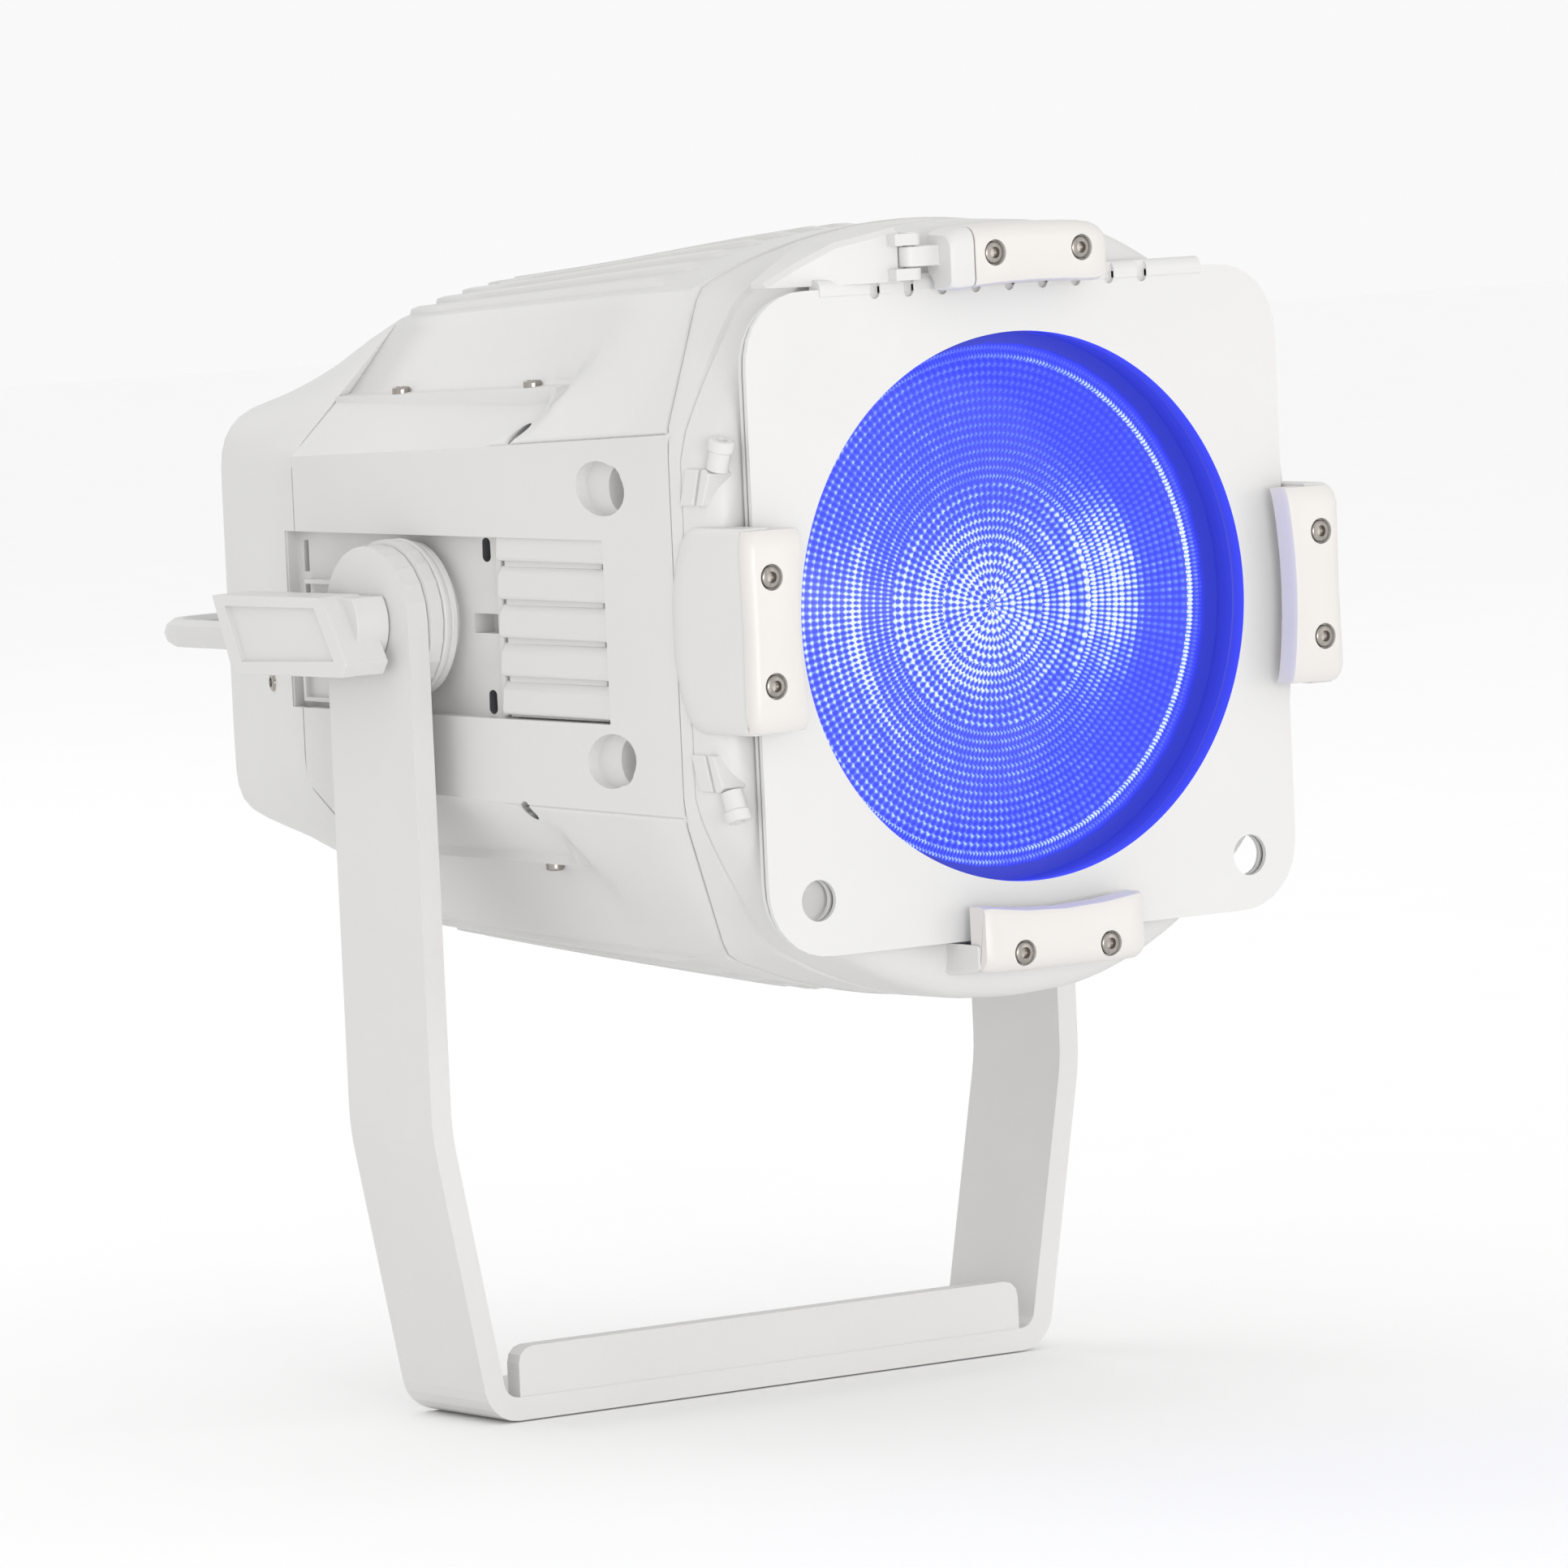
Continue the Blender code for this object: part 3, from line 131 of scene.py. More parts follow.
def lit_lens():
    """Blue light seen through the lens: bright facets where its rings cross the fine radial flutes."""
    made, tree, shader = nodes_of("lit_lens")

    def calc(operation, *inputs):
        return math_node(tree, operation, *inputs)

    def fade(value, start, end, low=0.0, high=1.0):
        return node(tree, "MapRange", [("Value", value), ("From Min", start), ("From Max", end),
                                       ("To Min", low), ("To Max", high)]).outputs[0]

    def bell(offset):
        return calc("EXPONENT", calc("MULTIPLY", calc("MULTIPLY", offset, offset), -1.0))

    coords = node(tree, "TexCoord").outputs["Object"]
    place = node(tree, "SeparateXYZ", [(0, coords)])
    u = calc("MULTIPLY", place.outputs[0], 1 / MM)
    v = calc("MULTIPLY_ADD", place.outputs[2], 1 / MM, -TILT_HEIGHT)
    r = calc("SQRT", calc("ADD", calc("MULTIPLY", u, u), calc("MULTIPLY", v, v)))

    # Facets: rings, and flutes whose number doubles each time the radius does.
    ring = calc("COSINE", calc("MULTIPLY", calc("DIVIDE", r, RING), math.tau))
    zone = calc("FLOOR", calc("LOGARITHM", calc("DIVIDE", calc("MAXIMUM", r, 3.0), 9.0), 2.0))
    count = calc("MULTIPLY", calc("POWER", 2.0, zone), FLUTES / 4)
    flute = calc("COSINE", calc("MULTIPLY", calc("ARCTAN2", v, u), count))
    dots = calc("ADD", calc("MULTIPLY", ring, 0.5), calc("MULTIPLY", flute, 0.5))

    # Light: a centre spot, arcs to its left and right, a level band, a fall from left to right, and the rim.
    middle = bell(calc("DIVIDE", calc("MULTIPLY_ADD", u, -0.1, v), 25.0))
    sides = {-1: fade(u, 6.0, -6.0), 1: fade(u, -6.0, 6.0)}
    light = calc("MULTIPLY", calc("EXPONENT", calc("DIVIDE", r, -14.0)), 0.6)
    for side, centre, width, strength in BANDS:
        glow = calc("MULTIPLY", bell(calc("DIVIDE", calc("SUBTRACT", r, centre), width)), sides[side])
        light = calc("ADD", light, calc("MULTIPLY", glow, calc("MULTIPLY", middle, strength)))
    light = calc("ADD", light, calc("MULTIPLY", middle, 0.2))
    light = calc("ADD", light, fade(calc("MULTIPLY_ADD", v, 0.35, u), -60.0, 55.0, 0.58, 0.14))
    rim = calc("MULTIPLY", calc("COMPARE", r, 72.6, 1.1), fade(u, -8.0, 72.0, 0.02, 0.85))
    light = calc("ADD", light, rim)
    speckle = node(tree, "TexNoise", [("Vector", coords), ("Scale", 260.0)]).outputs[0]
    light = calc("MULTIPLY", light, calc("MULTIPLY_ADD", speckle, 1.1, 0.45))

    spread = calc("MULTIPLY_ADD", light, 0.55, 0.16)
    level = calc("MULTIPLY_ADD", dots, spread, calc("MULTIPLY_ADD", light, 0.52, 0.06))
    colour = ramp(tree, level, (0.0, (0.045, 0.06, 0.80)), (0.25, (0.067, 0.084, 0.98)),
                  (0.52, (0.14, 0.22, 1.0)), (0.75, (0.50, 0.70, 1.0)), (1.0, (0.92, 0.97, 1.0)))
    shader.inputs["Base Color"].default_value = (0.02, 0.03, 0.3, 1)
    tree.links.new(colour, shader.inputs["Emission Color"])
    shader.inputs["Emission Strength"].default_value = 0.95
    shader.inputs["Roughness"].default_value = 0.16
    shader.inputs["Specular IOR Level"].default_value = 0.3
    return made


def painted_glow_barrel():
    """The lens tube's wall as a painted glow: lit blue from the lens, and painted darker towards its mouth."""
    made, tree, shader = nodes_of("painted_glow_barrel")
    place = node(tree, "SeparateXYZ", [(0, node(tree, "TexCoord").outputs["Object"])])
    depth = node(tree, "MapRange", [("Value", place.outputs[1]), ("From Min", -0.168), ("From Max", -0.149)])
    colour = ramp(tree, depth.outputs[0], (0.0, (0.055, 0.072, 0.98)), (0.35, (0.032, 0.045, 0.68)),
                  (0.75, (0.024, 0.036, 0.52)), (1.0, (0.06, 0.075, 0.95)))
    shader.inputs["Base Color"].default_value = (0.01, 0.012, 0.09, 1)
    tree.links.new(colour, shader.inputs["Emission Color"])
    shader.inputs["Emission Strength"].default_value = 0.9
    shader.inputs["Roughness"].default_value = 0.5
    return made


def plain(name, colour, roughness, emission=None):
    """A dark plastic or screen with a faint mottle."""
    made = coated(name, colour, roughness, grain=1200.0, bump=0.03, tint=0.06)
    if emission:
        shader = made.node_tree.nodes["Principled BSDF"]
        shader.inputs["Emission Color"].default_value = (*emission, 1)
        shader.inputs["Emission Strength"].default_value = 0.4
    return made


# ---- mesh tools ----

def to_mesh(bm, name, lift=TILT_HEIGHT):
    bmesh.ops.recalc_face_normals(bm, faces=bm.faces)
    bmesh.ops.transform(bm, matrix=Matrix.Scale(MM, 4) @ Matrix.Translation((0, 0, lift)), verts=bm.verts)
    mesh = bpy.data.meshes.new(name)
    bm.to_mesh(mesh)
    bm.free()
    return mesh


def piece(name, bm, paint, body, stands_for=(), edge=0.0, steps=2, angle=32, lift=TILT_HEIGHT):
    made = bpy.data.objects.new(name, to_mesh(bm, name, lift))
    bpy.context.scene.collection.objects.link(made)
    made.data.materials.append(paint)
    if edge:
        soften(made, edge, steps, angle)
    made.data.shade_smooth()
    made.data.set_sharp_from_angle(angle=math.radians(angle))
    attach(made, body)
    if stands_for:
        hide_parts(*stands_for)
    return made


def soften(target, width, steps=2, angle=32):
    change = target.modifiers.new("edges", "BEVEL")
    change.width = width * MM
    change.segments = steps
    change.limit_method = "ANGLE"
    change.angle_limit = math.radians(angle)
    change.harden_normals = True


def bake(target):
    """Replaces the mesh by what its visible modifiers make of it."""
    bpy.context.view_layer.update()
    shaped = target.evaluated_get(bpy.context.evaluated_depsgraph_get())
    old = target.data
    target.data = bpy.data.meshes.new_from_object(shaped)
    bpy.data.meshes.remove(old)


def hollow(target, thickness, even, edge=0.0):
    """Gives an open skin its wall, inwards, with its edges softened."""
    wall = target.modifiers.new("wall", "SOLIDIFY")
    wall.thickness = thickness * MM
    wall.offset = -1.0
    wall.use_even_offset = even
    if edge:
        soften(target, edge, 2, 24)
    bake(target)
    target.modifiers.clear()


def cut(target, bm, operation="DIFFERENCE", lift=TILT_HEIGHT):
    """Cuts target with a shape, or joins the shape to it, and applies the change to its mesh."""
    tool = bpy.data.objects.new("tool", to_mesh(bm, "tool", lift))
    bpy.context.scene.collection.objects.link(tool)
    change = target.modifiers.new("cut", "BOOLEAN")
    change.operation = operation
    change.object = tool
    change.solver = "EXACT"
    others = [m for m in target.modifiers if m != change]
    for other in others:
        other.show_viewport = False
    bake(target)
    for other in others:
        other.show_viewport = True
    target.modifiers.remove(change)
    bpy.data.objects.remove(tool)
    target.data.shade_smooth()
    target.data.set_sharp_from_angle(angle=math.radians(32))


def skin(rows, around=False, along=False, ends=False):
    """Quads over rows of equal length; around closes each row, along joins the last row to the first."""
    bm = bmesh.new()
    made = [[bm.verts.new(point) for point in row] for row in rows]
    pairs = list(zip(made, made[1:])) + ([(made[-1], made[0])] if along else [])
    count = len(rows[0])
    for row, following in pairs:
        for i in range(count if around else count - 1):
            k = (i + 1) % count
            bm.faces.new((row[i], row[k], following[k], following[i]))
    if ends:
        bm.faces.new(list(reversed(made[0])))
        bm.faces.new(made[-1])
    return bm


def slab(outline, near, far, lay):
    """A flat outline of (u, v) between the distances near and far; lay places (u, v, distance)."""
    low = [lay(u, v, near) for u, v in outline]
    high = [lay(u, v, far) for u, v in outline]
    return skin([low, high], around=True, ends=True)


def on_x(u, v, d):
    return (d, u, v)


def on_y(u, v, d):
    return (u, d, v)


def on_z(u, v, d):
    return (u, v, d)


def block(low, high):
    outline = [(low[0], low[2]), (high[0], low[2]), (high[0], high[2]), (low[0], high[2])]
    return slab(outline, low[1], high[1], on_y)


def side_block(side, near, far, low, high):
    """A block between two distances from the middle on one side; low and high are (y, z)."""
    start, end = sorted((side * near, side * far))
    return block((start, *low), (end, *high))


def joined(*parts):
    """Several loose shapes as one."""
    bm = bmesh.new()
    for part in parts:
        mesh = bpy.data.meshes.new("part")
        part.to_mesh(mesh)
        part.free()
        bm.from_mesh(mesh)
        bpy.data.meshes.remove(mesh)
    return bm


def turned(profile, centre, direction, sides=48):
    """Profile of (radius, distance) turned about a line; a radius of 0 closes an end."""
    turn = Vector((0, 0, 1)).rotation_difference(Vector(direction).normalized()).to_matrix()
    angles = [math.tau * i / sides for i in range(sides)]
    bm = bmesh.new()
    rows = []
    for r, a in profile:
        around = [(0, 0, a)] if r == 0 else [(r * math.cos(t), r * math.sin(t), a) for t in angles]
        rows.append([bm.verts.new(Vector(centre) + turn @ Vector(point)) for point in around])
    closed = [(rows[-1], rows[0])] if profile[0][0] and profile[-1][0] else []
    for row, following in list(zip(rows, rows[1:])) + closed:
        for i in range(sides):
            k = (i + 1) % sides
            if len(row) == 1:
                bm.faces.new((row[0], following[k], following[i]))
            elif len(following) == 1:
                bm.faces.new((row[i], row[k], following[0]))
            else:
                bm.faces.new((row[i], row[k], following[k], following[i]))
    return bm


def rod(radius, start, direction, length, sides=32):
    return turned([(0, 0), (radius, 0), (radius, length), (0, length)], start, direction, sides)


def arc(centre, radius, start, end, steps):
    """Points on an arc, from start to end in degrees."""
    angles = [math.radians(start + (end - start) * i / steps) for i in range(steps + 1)]
    return [(centre[0] + radius * math.cos(a), centre[1] + radius * math.sin(a)) for a in angles]


def rounded(half_u, half_v, radius, steps=8):
    """A rectangle's outline with rounded corners."""
    points = []
    for su, sv, start in ((1, 1, 0), (-1, 1, 90), (-1, -1, 180), (1, -1, 270)):
        centre = (su * (half_u - radius), sv * (half_v - radius))
        points += arc(centre, radius, start, start + 90, steps)
    return points


def unit(t):
    return max(0.0, min(1.0, t))


def between(a, b, t):
    return a + (b - a) * unit(t)


def along_line(stops, at):
    """Value at a distance, from (distance, value) stops in rising order."""
    for (a, va), (b, vb) in zip(stops, stops[1:]):
        if at <= b:
            return between(va, vb, (at - a) / (b - a))
    return stops[-1][1]


# ---- housing ----

SIDE = 105.0                 # the side walls' distance from the middle
SEAM_REAR = 60.5             # joint between the covers and the rear cover
RECESS = (-28.4, 25.0)       # lower and upper edge of the recess in each side
PORT = 55.2                  # height of the small round port beside each ledge, and its place along the head
PORT_AT = -58.0

# Lines along each cover as (y, z) stops, and its shoulder as (y, x, z)
UPPER = dict(sign=1, crest=[(-141, 113), (-110, 112.5), (-46, 107), (17, 100.5), (61, 97), (64, 96.6)],
             edge=[(-141, 55.8), (-48, 51.6), (64, 47.4)], shoulder=[(-141, 77, 97), (-73, 72.5, 94), (64, 63.5, 86.5)],
             ledge=[(-141, 64.0), (-49, 63.0), (64, 61.4)], ledge_height=[(-49, 5.3), (52, 3.5)])
LOWER = dict(sign=-1, crest=[(-141, 115), (-110, 115), (-46, 112.5), (17, 109.5), (64, 106.5)],
             edge=[(-141, 54.0), (-48, 53.0), (64, 50.5)], shoulder=[(-141, 77, 98), (-73, 74, 97.5), (64, 68, 94)],
             ledge=[(-141, 69.4), (-49, 69.0), (64, 69.8)], ledge_height=[(-49, 4.2), (52, 3.2)])


def seam_y(z):
    """The bezel's rear edge leans back over the shoulders."""
    return between(-141.0, -118.0, (abs(z) - 54.0) / 44.0)


def section(kind, y):
    """A cover's lower edge, crest and shoulder (x, z) at y."""
    shoulder_x = along_line([(a, b) for a, b, _ in kind["shoulder"]], y)
    shoulder_z = along_line([(a, c) for a, _, c in kind["shoulder"]], y)
    return along_line(kind["edge"], y), along_line(kind["crest"], y), shoulder_x, shoulder_z


def ledge_top(kind, y):
    return along_line(kind["ledge"], y) + along_line(kind["ledge_height"], y)


def cover_line(kind, y):
    """Right half of a cover's outer line at y, from its lower edge to the crest, as (x, z)."""
    edge, crest, sx, sz = section(kind, y)
    ledge, top = along_line(kind["ledge"], y), ledge_top(kind, y)

    # The slope is a plain one in front and sinks to a ledge behind; line blends the two.
    shares = (0, 0.03, 0.06, 0.1, 0.24, 0.3, 0.36, 0.55, 0.8)
    full = [(between(SIDE, sx, t), between(edge + 0.7, sz, t)) for t in shares]
    slim = [(between(SIDE, 88.2, t), between(edge - 0.8, ledge - 0.6, t)) for t in (0.05, 0.5, 1)]
    slim += [(88.2, top - 0.4), (83.4, top + 0.2), (82.0, top + 1.4)]
    slim += [(between(82.0, sx, t), between(top + 1.4, sz, t)) for t in (0.3, 0.6, 0.85)]
    line = []
    for (x0, z0), (x1, z1) in zip(full, slim):
        up = (z1 - top) / (sz - top)
        start, end = between(-70.0, -116.0, up), between(-61.0, -78.0, up)
        if z1 < top - 1.0:
            down = (ledge - z1) / (ledge - edge)
            start, end = between(-66.0, -52.0, down), between(-60.0, -38.0, down)
        step = unit((y - start) / (end - start))
        line.append((between(x0, x1, step), between(z0, z1, step)))
    line.append((sx, sz))

    # Ribs along the crown, four points each, that rise behind the bezel and sink at the rear.
    rise = unit((y + 92.0) / 8.0) * (1.0 if y < 62 else 0.4)
    fractions = [0.985]
    for rib in (0.91, 0.76, 0.61, 0.46, 0.31, 0.16, 0.01):
        fractions += [rib + 0.03, rib + 0.022, rib - 0.022, rib - 0.03]
    for number, part in enumerate(fractions[:-2]):
        proud = 1.5 * rise if number % 4 in (2, 3) else 0.0
        line.append((sx * part, crest - (crest - sz) * part * part + proud))
    return line


def cover(name, kind, stands_for):
    """Top or bottom cover with its ribs, ledges, ports and ledge screws."""
    sign = kind["sign"]
    stations = [-141, *range(-112, -87, 6), -83, -79, *range(-75, -38, 3), -30, 0, 30, SEAM_REAR - 0.5]
    rows = []
    for y in stations:
        half = cover_line(kind, y)
        loop = [(-x, z) for x, z in half] + list(reversed(half))
        rows.append([(x, max(y, seam_y(z) + 0.4), sign * z) for x, z in loop])
    made = piece(name, skin(rows), WHITE, "head", stands_for, angle=24)
    hollow(made, 2.6, even=True, edge=0.5)
    for side in (-1, 1):
        cut(made, rod(2.9, (side * 84, PORT_AT, sign * PORT), (side, 0, 0), 30, 24))
        for where, y in (("front", -43.0), ("rear", 28.0)):
            place = (side * 85.1, y, sign * (ledge_top(kind, y) - 0.1))
            cut_head(f"{name}_screw_{HAND[side]}_{where}", place, (0, 0, sign))


def cut_head(name, place, direction):
    """Dark socket screw sunk in the housing."""
    rim = arc((2.0, 1.2), 0.8, 0, 90, 3)
    profile = [(0, -3), (2.8, -3), (2.8, 1.2)] + rim + [(1.5, 2.0), (1.4, 0.8), (0, 0.8)]
    piece(name, turned(profile, place, direction, 20), SCREW, "head", angle=28)


def side_panel(side):
    """Side wall with its recess, oval pockets, ports and slots, and the slopes above and below."""
    name = HAND[side]
    rows = []
    for y in (-140.4, -100, -48, 0, SEAM_REAR - 0.5):
        top, low = (along_line(kind["edge"], y) for kind in (UPPER, LOWER))
        rows.append([(side * 91.0, y, 45), (side * 86.5, y, 64.4), (side * SIDE, y, top), (side * SIDE, y, -low),
                     (side * 86.5, y, -71.6), (side * 91.0, y, -45)])
    made = piece(name + "_side", skin(rows, around=True, ends=True), WHITE, "head", (name + "_side_panel",), edge=0.9)
    cut(made, side_block(side, 99.0, 112.0, (-105, RECESS[0]), (80, RECESS[1])))
    for z, slant in ((40.0, 1), (-39.0, -1)):
        oval = [(-105 + u * 12.5 + slant * v * 1.2, z + v * 8.0) for u, v in arc((0, 0), 1.0, 0, 345, 23)]
        cut(made, slab(oval, side * 101.2, side * 110, on_x))
        hole = [(-110.5 + u * 6.3, z + v * 6.9) for u, v in arc((0, 0), 1.0, 0, 340, 17)]
        cut(made, slab(hole, side * 94.5, side * 110, on_x))
    for z in (PORT, -PORT):
        cut(made, rod(2.9, (side * 80, PORT_AT, z), (side, 0, 0), 40, 24))
    cut(made, side_block(side, 92, 102, (-40.5, -4.0), (-27.0, 1.8)))
    for middle in (20.7, -24.3):
        slot = [(-35.2 + u * 2.2, middle + (1.9 if v > 0 else -1.9) + v * 1.7)
                for u, v in arc((0, 0), 1.0, 0, 345, 15)]
        cut(made, slab(slot, side * 84, side * 103, on_x))
    # The slots' inner walls get painted shade (the SHADOW finish), so that the slots read as deep dark holes.
    made.data.materials.append(SHADOW)
    for face in made.data.polygons:
        across, along, up = face.center / MM
        in_slot = -37.6 < along < -32.8 and 16 < abs(up - TILT_HEIGHT) < 29
        if in_slot and abs(across) < 98.6:
            face.material_index = 1


def channel_end(side):
    """End of the recess, let into the rear cover, with its slots, fins and a hooked pocket."""
    name = HAND[side]
    low, high = -31.0, 28.0
    floor_plate = side_block(side, 95.0, 98.9, (57.0, low), (71.0, high))
    made = piece(name + "_channel_end", floor_plate, WHITE, "head", edge=0.3)
    cut(made, side_block(side, 95.0, 102.8, (68.2, low), (71.0, high)), "UNION")
    for slot_low, slot_high in ((12.5, 21.8), (5.6, 9.6), (-26.4, -23.0)):
        cut(made, side_block(side, 90, 106, (62.6, slot_low), (65.2, slot_high)))
    fins = [side_block(side, 98.0, 101.8, (44.0, z), (61.5, z + 1.6)) for z in (4.4, 8.8)]
    low, high = sorted((side * 98.0, side * 101.6))
    outer = slab([(46.0, -27.0), (65.0, -27.0), (65.0, -16.0), (46.0, -16.0)], low, high, on_x)
    inner = [(47.6, -25.5), (63.4, -25.5), (63.4, -17.5), (47.6, -17.5)]
    rim = piece(name + "_channel_pocket", joined(outer, *fins), WHITE, "head", edge=0.4)
    cut(rim, slab(inner, side * 99.4, side * 104, on_x))
    cut(rim, rod(2.2, (side * 94, 52, -22.5), (side, 0, 0), 12, 20))


def louvres(side):
    """Five slanted slats in the recess, in front of the pivot, with a post and a backing."""
    pitch = 11.3
    parts = []
    for level in range(5):
        z = 24.4 - pitch * level
        top, foot = z + 3.4, z - 6.4
        shape = [(97.0, top), (102.4, top), (104.2, top - 2.6), (104.6, foot + 1.0), (104.0, foot), (97.0, foot)]
        row_end = [(side * (x - 2.6 if x > 97 else x), -44.5, v) for x, v in shape]
        row_back = [(side * (x - 0.3 if x > 97 else x), -48.0, v) for x, v in shape]
        row_mid = [(side * x, -99.5, v) for x, v in shape]
        row_tip = [(side * min(x + 1.5, 104.9), -105.6, v) for x, v in shape]
        parts.append(skin([row_end, row_back, row_mid, row_tip], around=True, ends=True))
    parts.append(side_block(side, 97, 100.4, (-44.6, -28.2), (-41.6, 24.8)))
    parts.append(side_block(side, 97, 102.2, (-100.0, -28.0), (-49.0, 24.6)))
    piece(HAND[side] + "_louvres", joined(*parts), WHITE, "head", edge=0.5, angle=28)


def pivot_boss(side):
    """Stepped round boss that carries the friction washer."""
    profile = [(5.6, -3), (19.0, -3), (19.0, 2.4), (22.6, 3.0), (23.4, 3.6), (23.4, 5.4), (22.6, 5.8), (22.6, 6.4),
               (24.0, 6.9), (24.0, 8.2), (23.4, 8.6), (5.6, 8.6)]
    made = turned(profile, (side * 98.8, 0, 0), (side, 0, 0), 64)
    piece(HAND[side] + "_pivot_boss", made, WHITE, "head", edge=0.5)


def polygon_radius(corners, angle):
    """Distance from the centre to an outline along an angle."""
    ray = Vector((math.cos(angle), math.sin(angle)))
    best = math.inf
    for a, b in zip(corners, corners[1:] + corners[:1]):
        a, b = Vector(a), Vector(b)
        span = b - a
        across = ray.x * span.y - ray.y * span.x
        if abs(across) < 1e-9:
            continue
        r = (a.x * span.y - a.y * span.x) / across
        t = (a.x * ray.y - a.y * ray.x) / across
        if r > 0 and -1e-6 <= t <= 1 + 1e-6:
            best = min(best, r)
    return best


def mean_radius(corners, angle, spread):
    """The same, averaged over a few degrees so that corners come out rounded."""
    return sum(polygon_radius(corners, angle + math.radians(d)) for d in (-spread, 0, spread)) / 3


def head_outline(y):
    """Corners of the head's outline at y, all round."""
    points = []
    for kind in (UPPER, LOWER):
        edge, crest, sx, sz = section(kind, y)
        half = [(SIDE, edge)] + [(sx * f, crest - (crest - sz) * f * f) for f in (1, 0.75, 0.5, 0.25)]
        loop = half + [(0, crest)] + [(-x, z) for x, z in reversed(half)]
        points += loop if kind is UPPER else [(x, -z) for x, z in reversed(loop)]
    return points


def bezel():
    """Front ring: a circle at the front that grows into the head's eight-sided outline."""
    outline = head_outline(-130)
    count = 160
    columns = []
    for i in range(count):
        angle = math.tau * i / count
        c, s = math.cos(angle), math.sin(angle)
        seam = mean_radius(outline, angle, 1.6)
        bulge = min(115.2, seam * 0.996)
        if abs(c) > 1e-6:
            bulge = min(bulge, 104.4 / abs(c))
        lip = min(103.5, bulge - 3.5)
        back = seam_y(seam * s)
        ring = [(86.0, back + 3), (84.9, -150), (84.9, -160.0), (85.9, -161.0), (lip - 6, -161.0)]
        for step in (0, 18, 36, 54, 72, 90):
            bend = math.radians(step)
            ring.append((lip + (bulge - lip) * math.sin(bend), -150.5 - 10.5 * math.cos(bend)))
        for t, sunk in ((0.3, 0), (0.42, 0), (0.45, 0.8), (0.5, 0.8), (0.53, 0), (0.8, 0)):
            ring.append((between(bulge, seam, t) - sunk, between(-150.5, back, t)))
        ring += [(seam, back), (seam - 2.8, back), (seam - 4.0, back + 3)]
        columns.append([(r * c, y, r * s) for r, y in ring])
    rows = list(zip(*columns))
    piece("bezel", skin(rows, around=True, along=True), WHITE, "head", ("front_bezel",), angle=26)


def lugs():
    """Small barrel nut and slotted keeper above and below the left side clip."""
    nut = [(0, 0), (3.2, 0), (3.2, 5.6), (3.8, 6.0), (3.8, 8.4), (3.2, 9.0), (1.6, 9.0), (1.4, 7.6), (0, 7.6)]
    shape = [(-145.5, 35.5), (-156.8, 35.5), (-161.0, 44.8), (-159.0, 46.2), (-149.0, 46.2)]
    slot = [(-151.4, 33.0), (-152.8, 33.0), (-157.8, 48.5), (-156.4, 48.5)]
    for sign, where in ((-1, "lower"), (1, "upper")):
        barrel_nut = turned(nut, (-101.8, -160.5, sign * 46.0), (0, -0.34, sign * 0.94), 24)
        piece("nut_" + where, barrel_nut, WHITE, "head", angle=30)
        body = slab([(u, sign * v) for u, v in shape], -105.3, -97.0, on_x)
        keeper = piece("keeper_" + where, body, WHITE, "head", edge=0.6)
        cut(keeper, slab([(u, sign * v) for u, v in slot], -108, -103.9, on_x))


def rear_shell():
    """Rear cover: the head's outline, drawn in towards the back, with a window for the rear panel."""
    outline = head_outline(62)
    count = 144
    half_u, half_v = 81.5, 62.5
    corners = rounded(half_u, half_v, 13, 6)
    arch = [(68.5 - 17.0 * i, half_v) for i in range(1, 8)]
    back = [(u, v - 5.0 + 8.0 * max(0.0, v / half_v) * (1 - (u / half_u) ** 2))
            for u, v in corners[:7] + arch + corners[7:]]
    # distance along the head, share of the way from the outline to the back, scale
    stations = [(SEAM_REAR, 0, 1), (63, 0.01, 1), (80, 0.2, 1), (100, 0.46, 1), (120, 0.73, 1), (133, 0.91, 1),
                (137.5, 0.97, 0.995), (139.8, 1, 0.978), (141, 1, 0.95)]
    angles = [math.tau * i / count for i in range(count)]
    rows = []
    for y, share, scale in stations:
        row = []
        for angle in angles:
            wide, slim = mean_radius(outline, angle, 1.5), mean_radius(back, angle, 1.5)
            r = between(wide, slim, share) * scale
            row.append((r * math.cos(angle), y, r * math.sin(angle)))
        rows.append(row)
    window = sorted(rounded(61.5, 51.5, 15, 35), key=lambda p: math.atan2(p[1], p[0]) % math.tau)
    assert len(window) == count
    rows += [[(u, y, v - 2) for u, v in window] for y in (141, 138.2)]
    made = piece("rear_housing", skin(rows, around=True), WHITE, "head", ("rear_cover",), angle=30)
    hollow(made, 2.4, even=False)
    for side in (-1, 1):
        cut(made, side_block(side, 98, 110, (55, RECESS[0]), (68.6, RECESS[1])))
        cut_head("rear_screw_" + HAND[side], (side * 97.0, 87, -22), (side, 0.3, 0))


# ---- front ----

FRAME_HALF = 95.25           # half the colour frame's side, and its corner radius
FRAME_RADIUS = 20.0
APERTURE = 79.8
LEAF_FRONT, LEAF_BACK = -167.3, -162.6
CLIP_FRONT = -181.0
SCREW_HALF = 15.5            # half the distance between a clip's two screws
SCREW_LINE = 98.9            # distance of a clip's screws from the lens's centre
SOCKET = 3.8                 # radius of the holes that the screw heads sit in
PIN = (-39.0, -171.0)        # the latch's pin, and the radius of the ears and the tongue round it
EAR = 3.3


def holed(outline, radius, near, far, sides=192):
    """A flat plate in front view with one round opening, its outline sampled at the same angles."""
    columns = []
    for i in range(sides):
        angle = math.tau * i / sides
        c, s = math.cos(angle), math.sin(angle)
        r = polygon_radius(outline, angle)
        columns.append([(reach * c, y, reach * s) for reach, y in ((r, near), (r, far), (radius, far), (radius, near))])
    return skin(list(zip(*columns)), around=True, along=True)


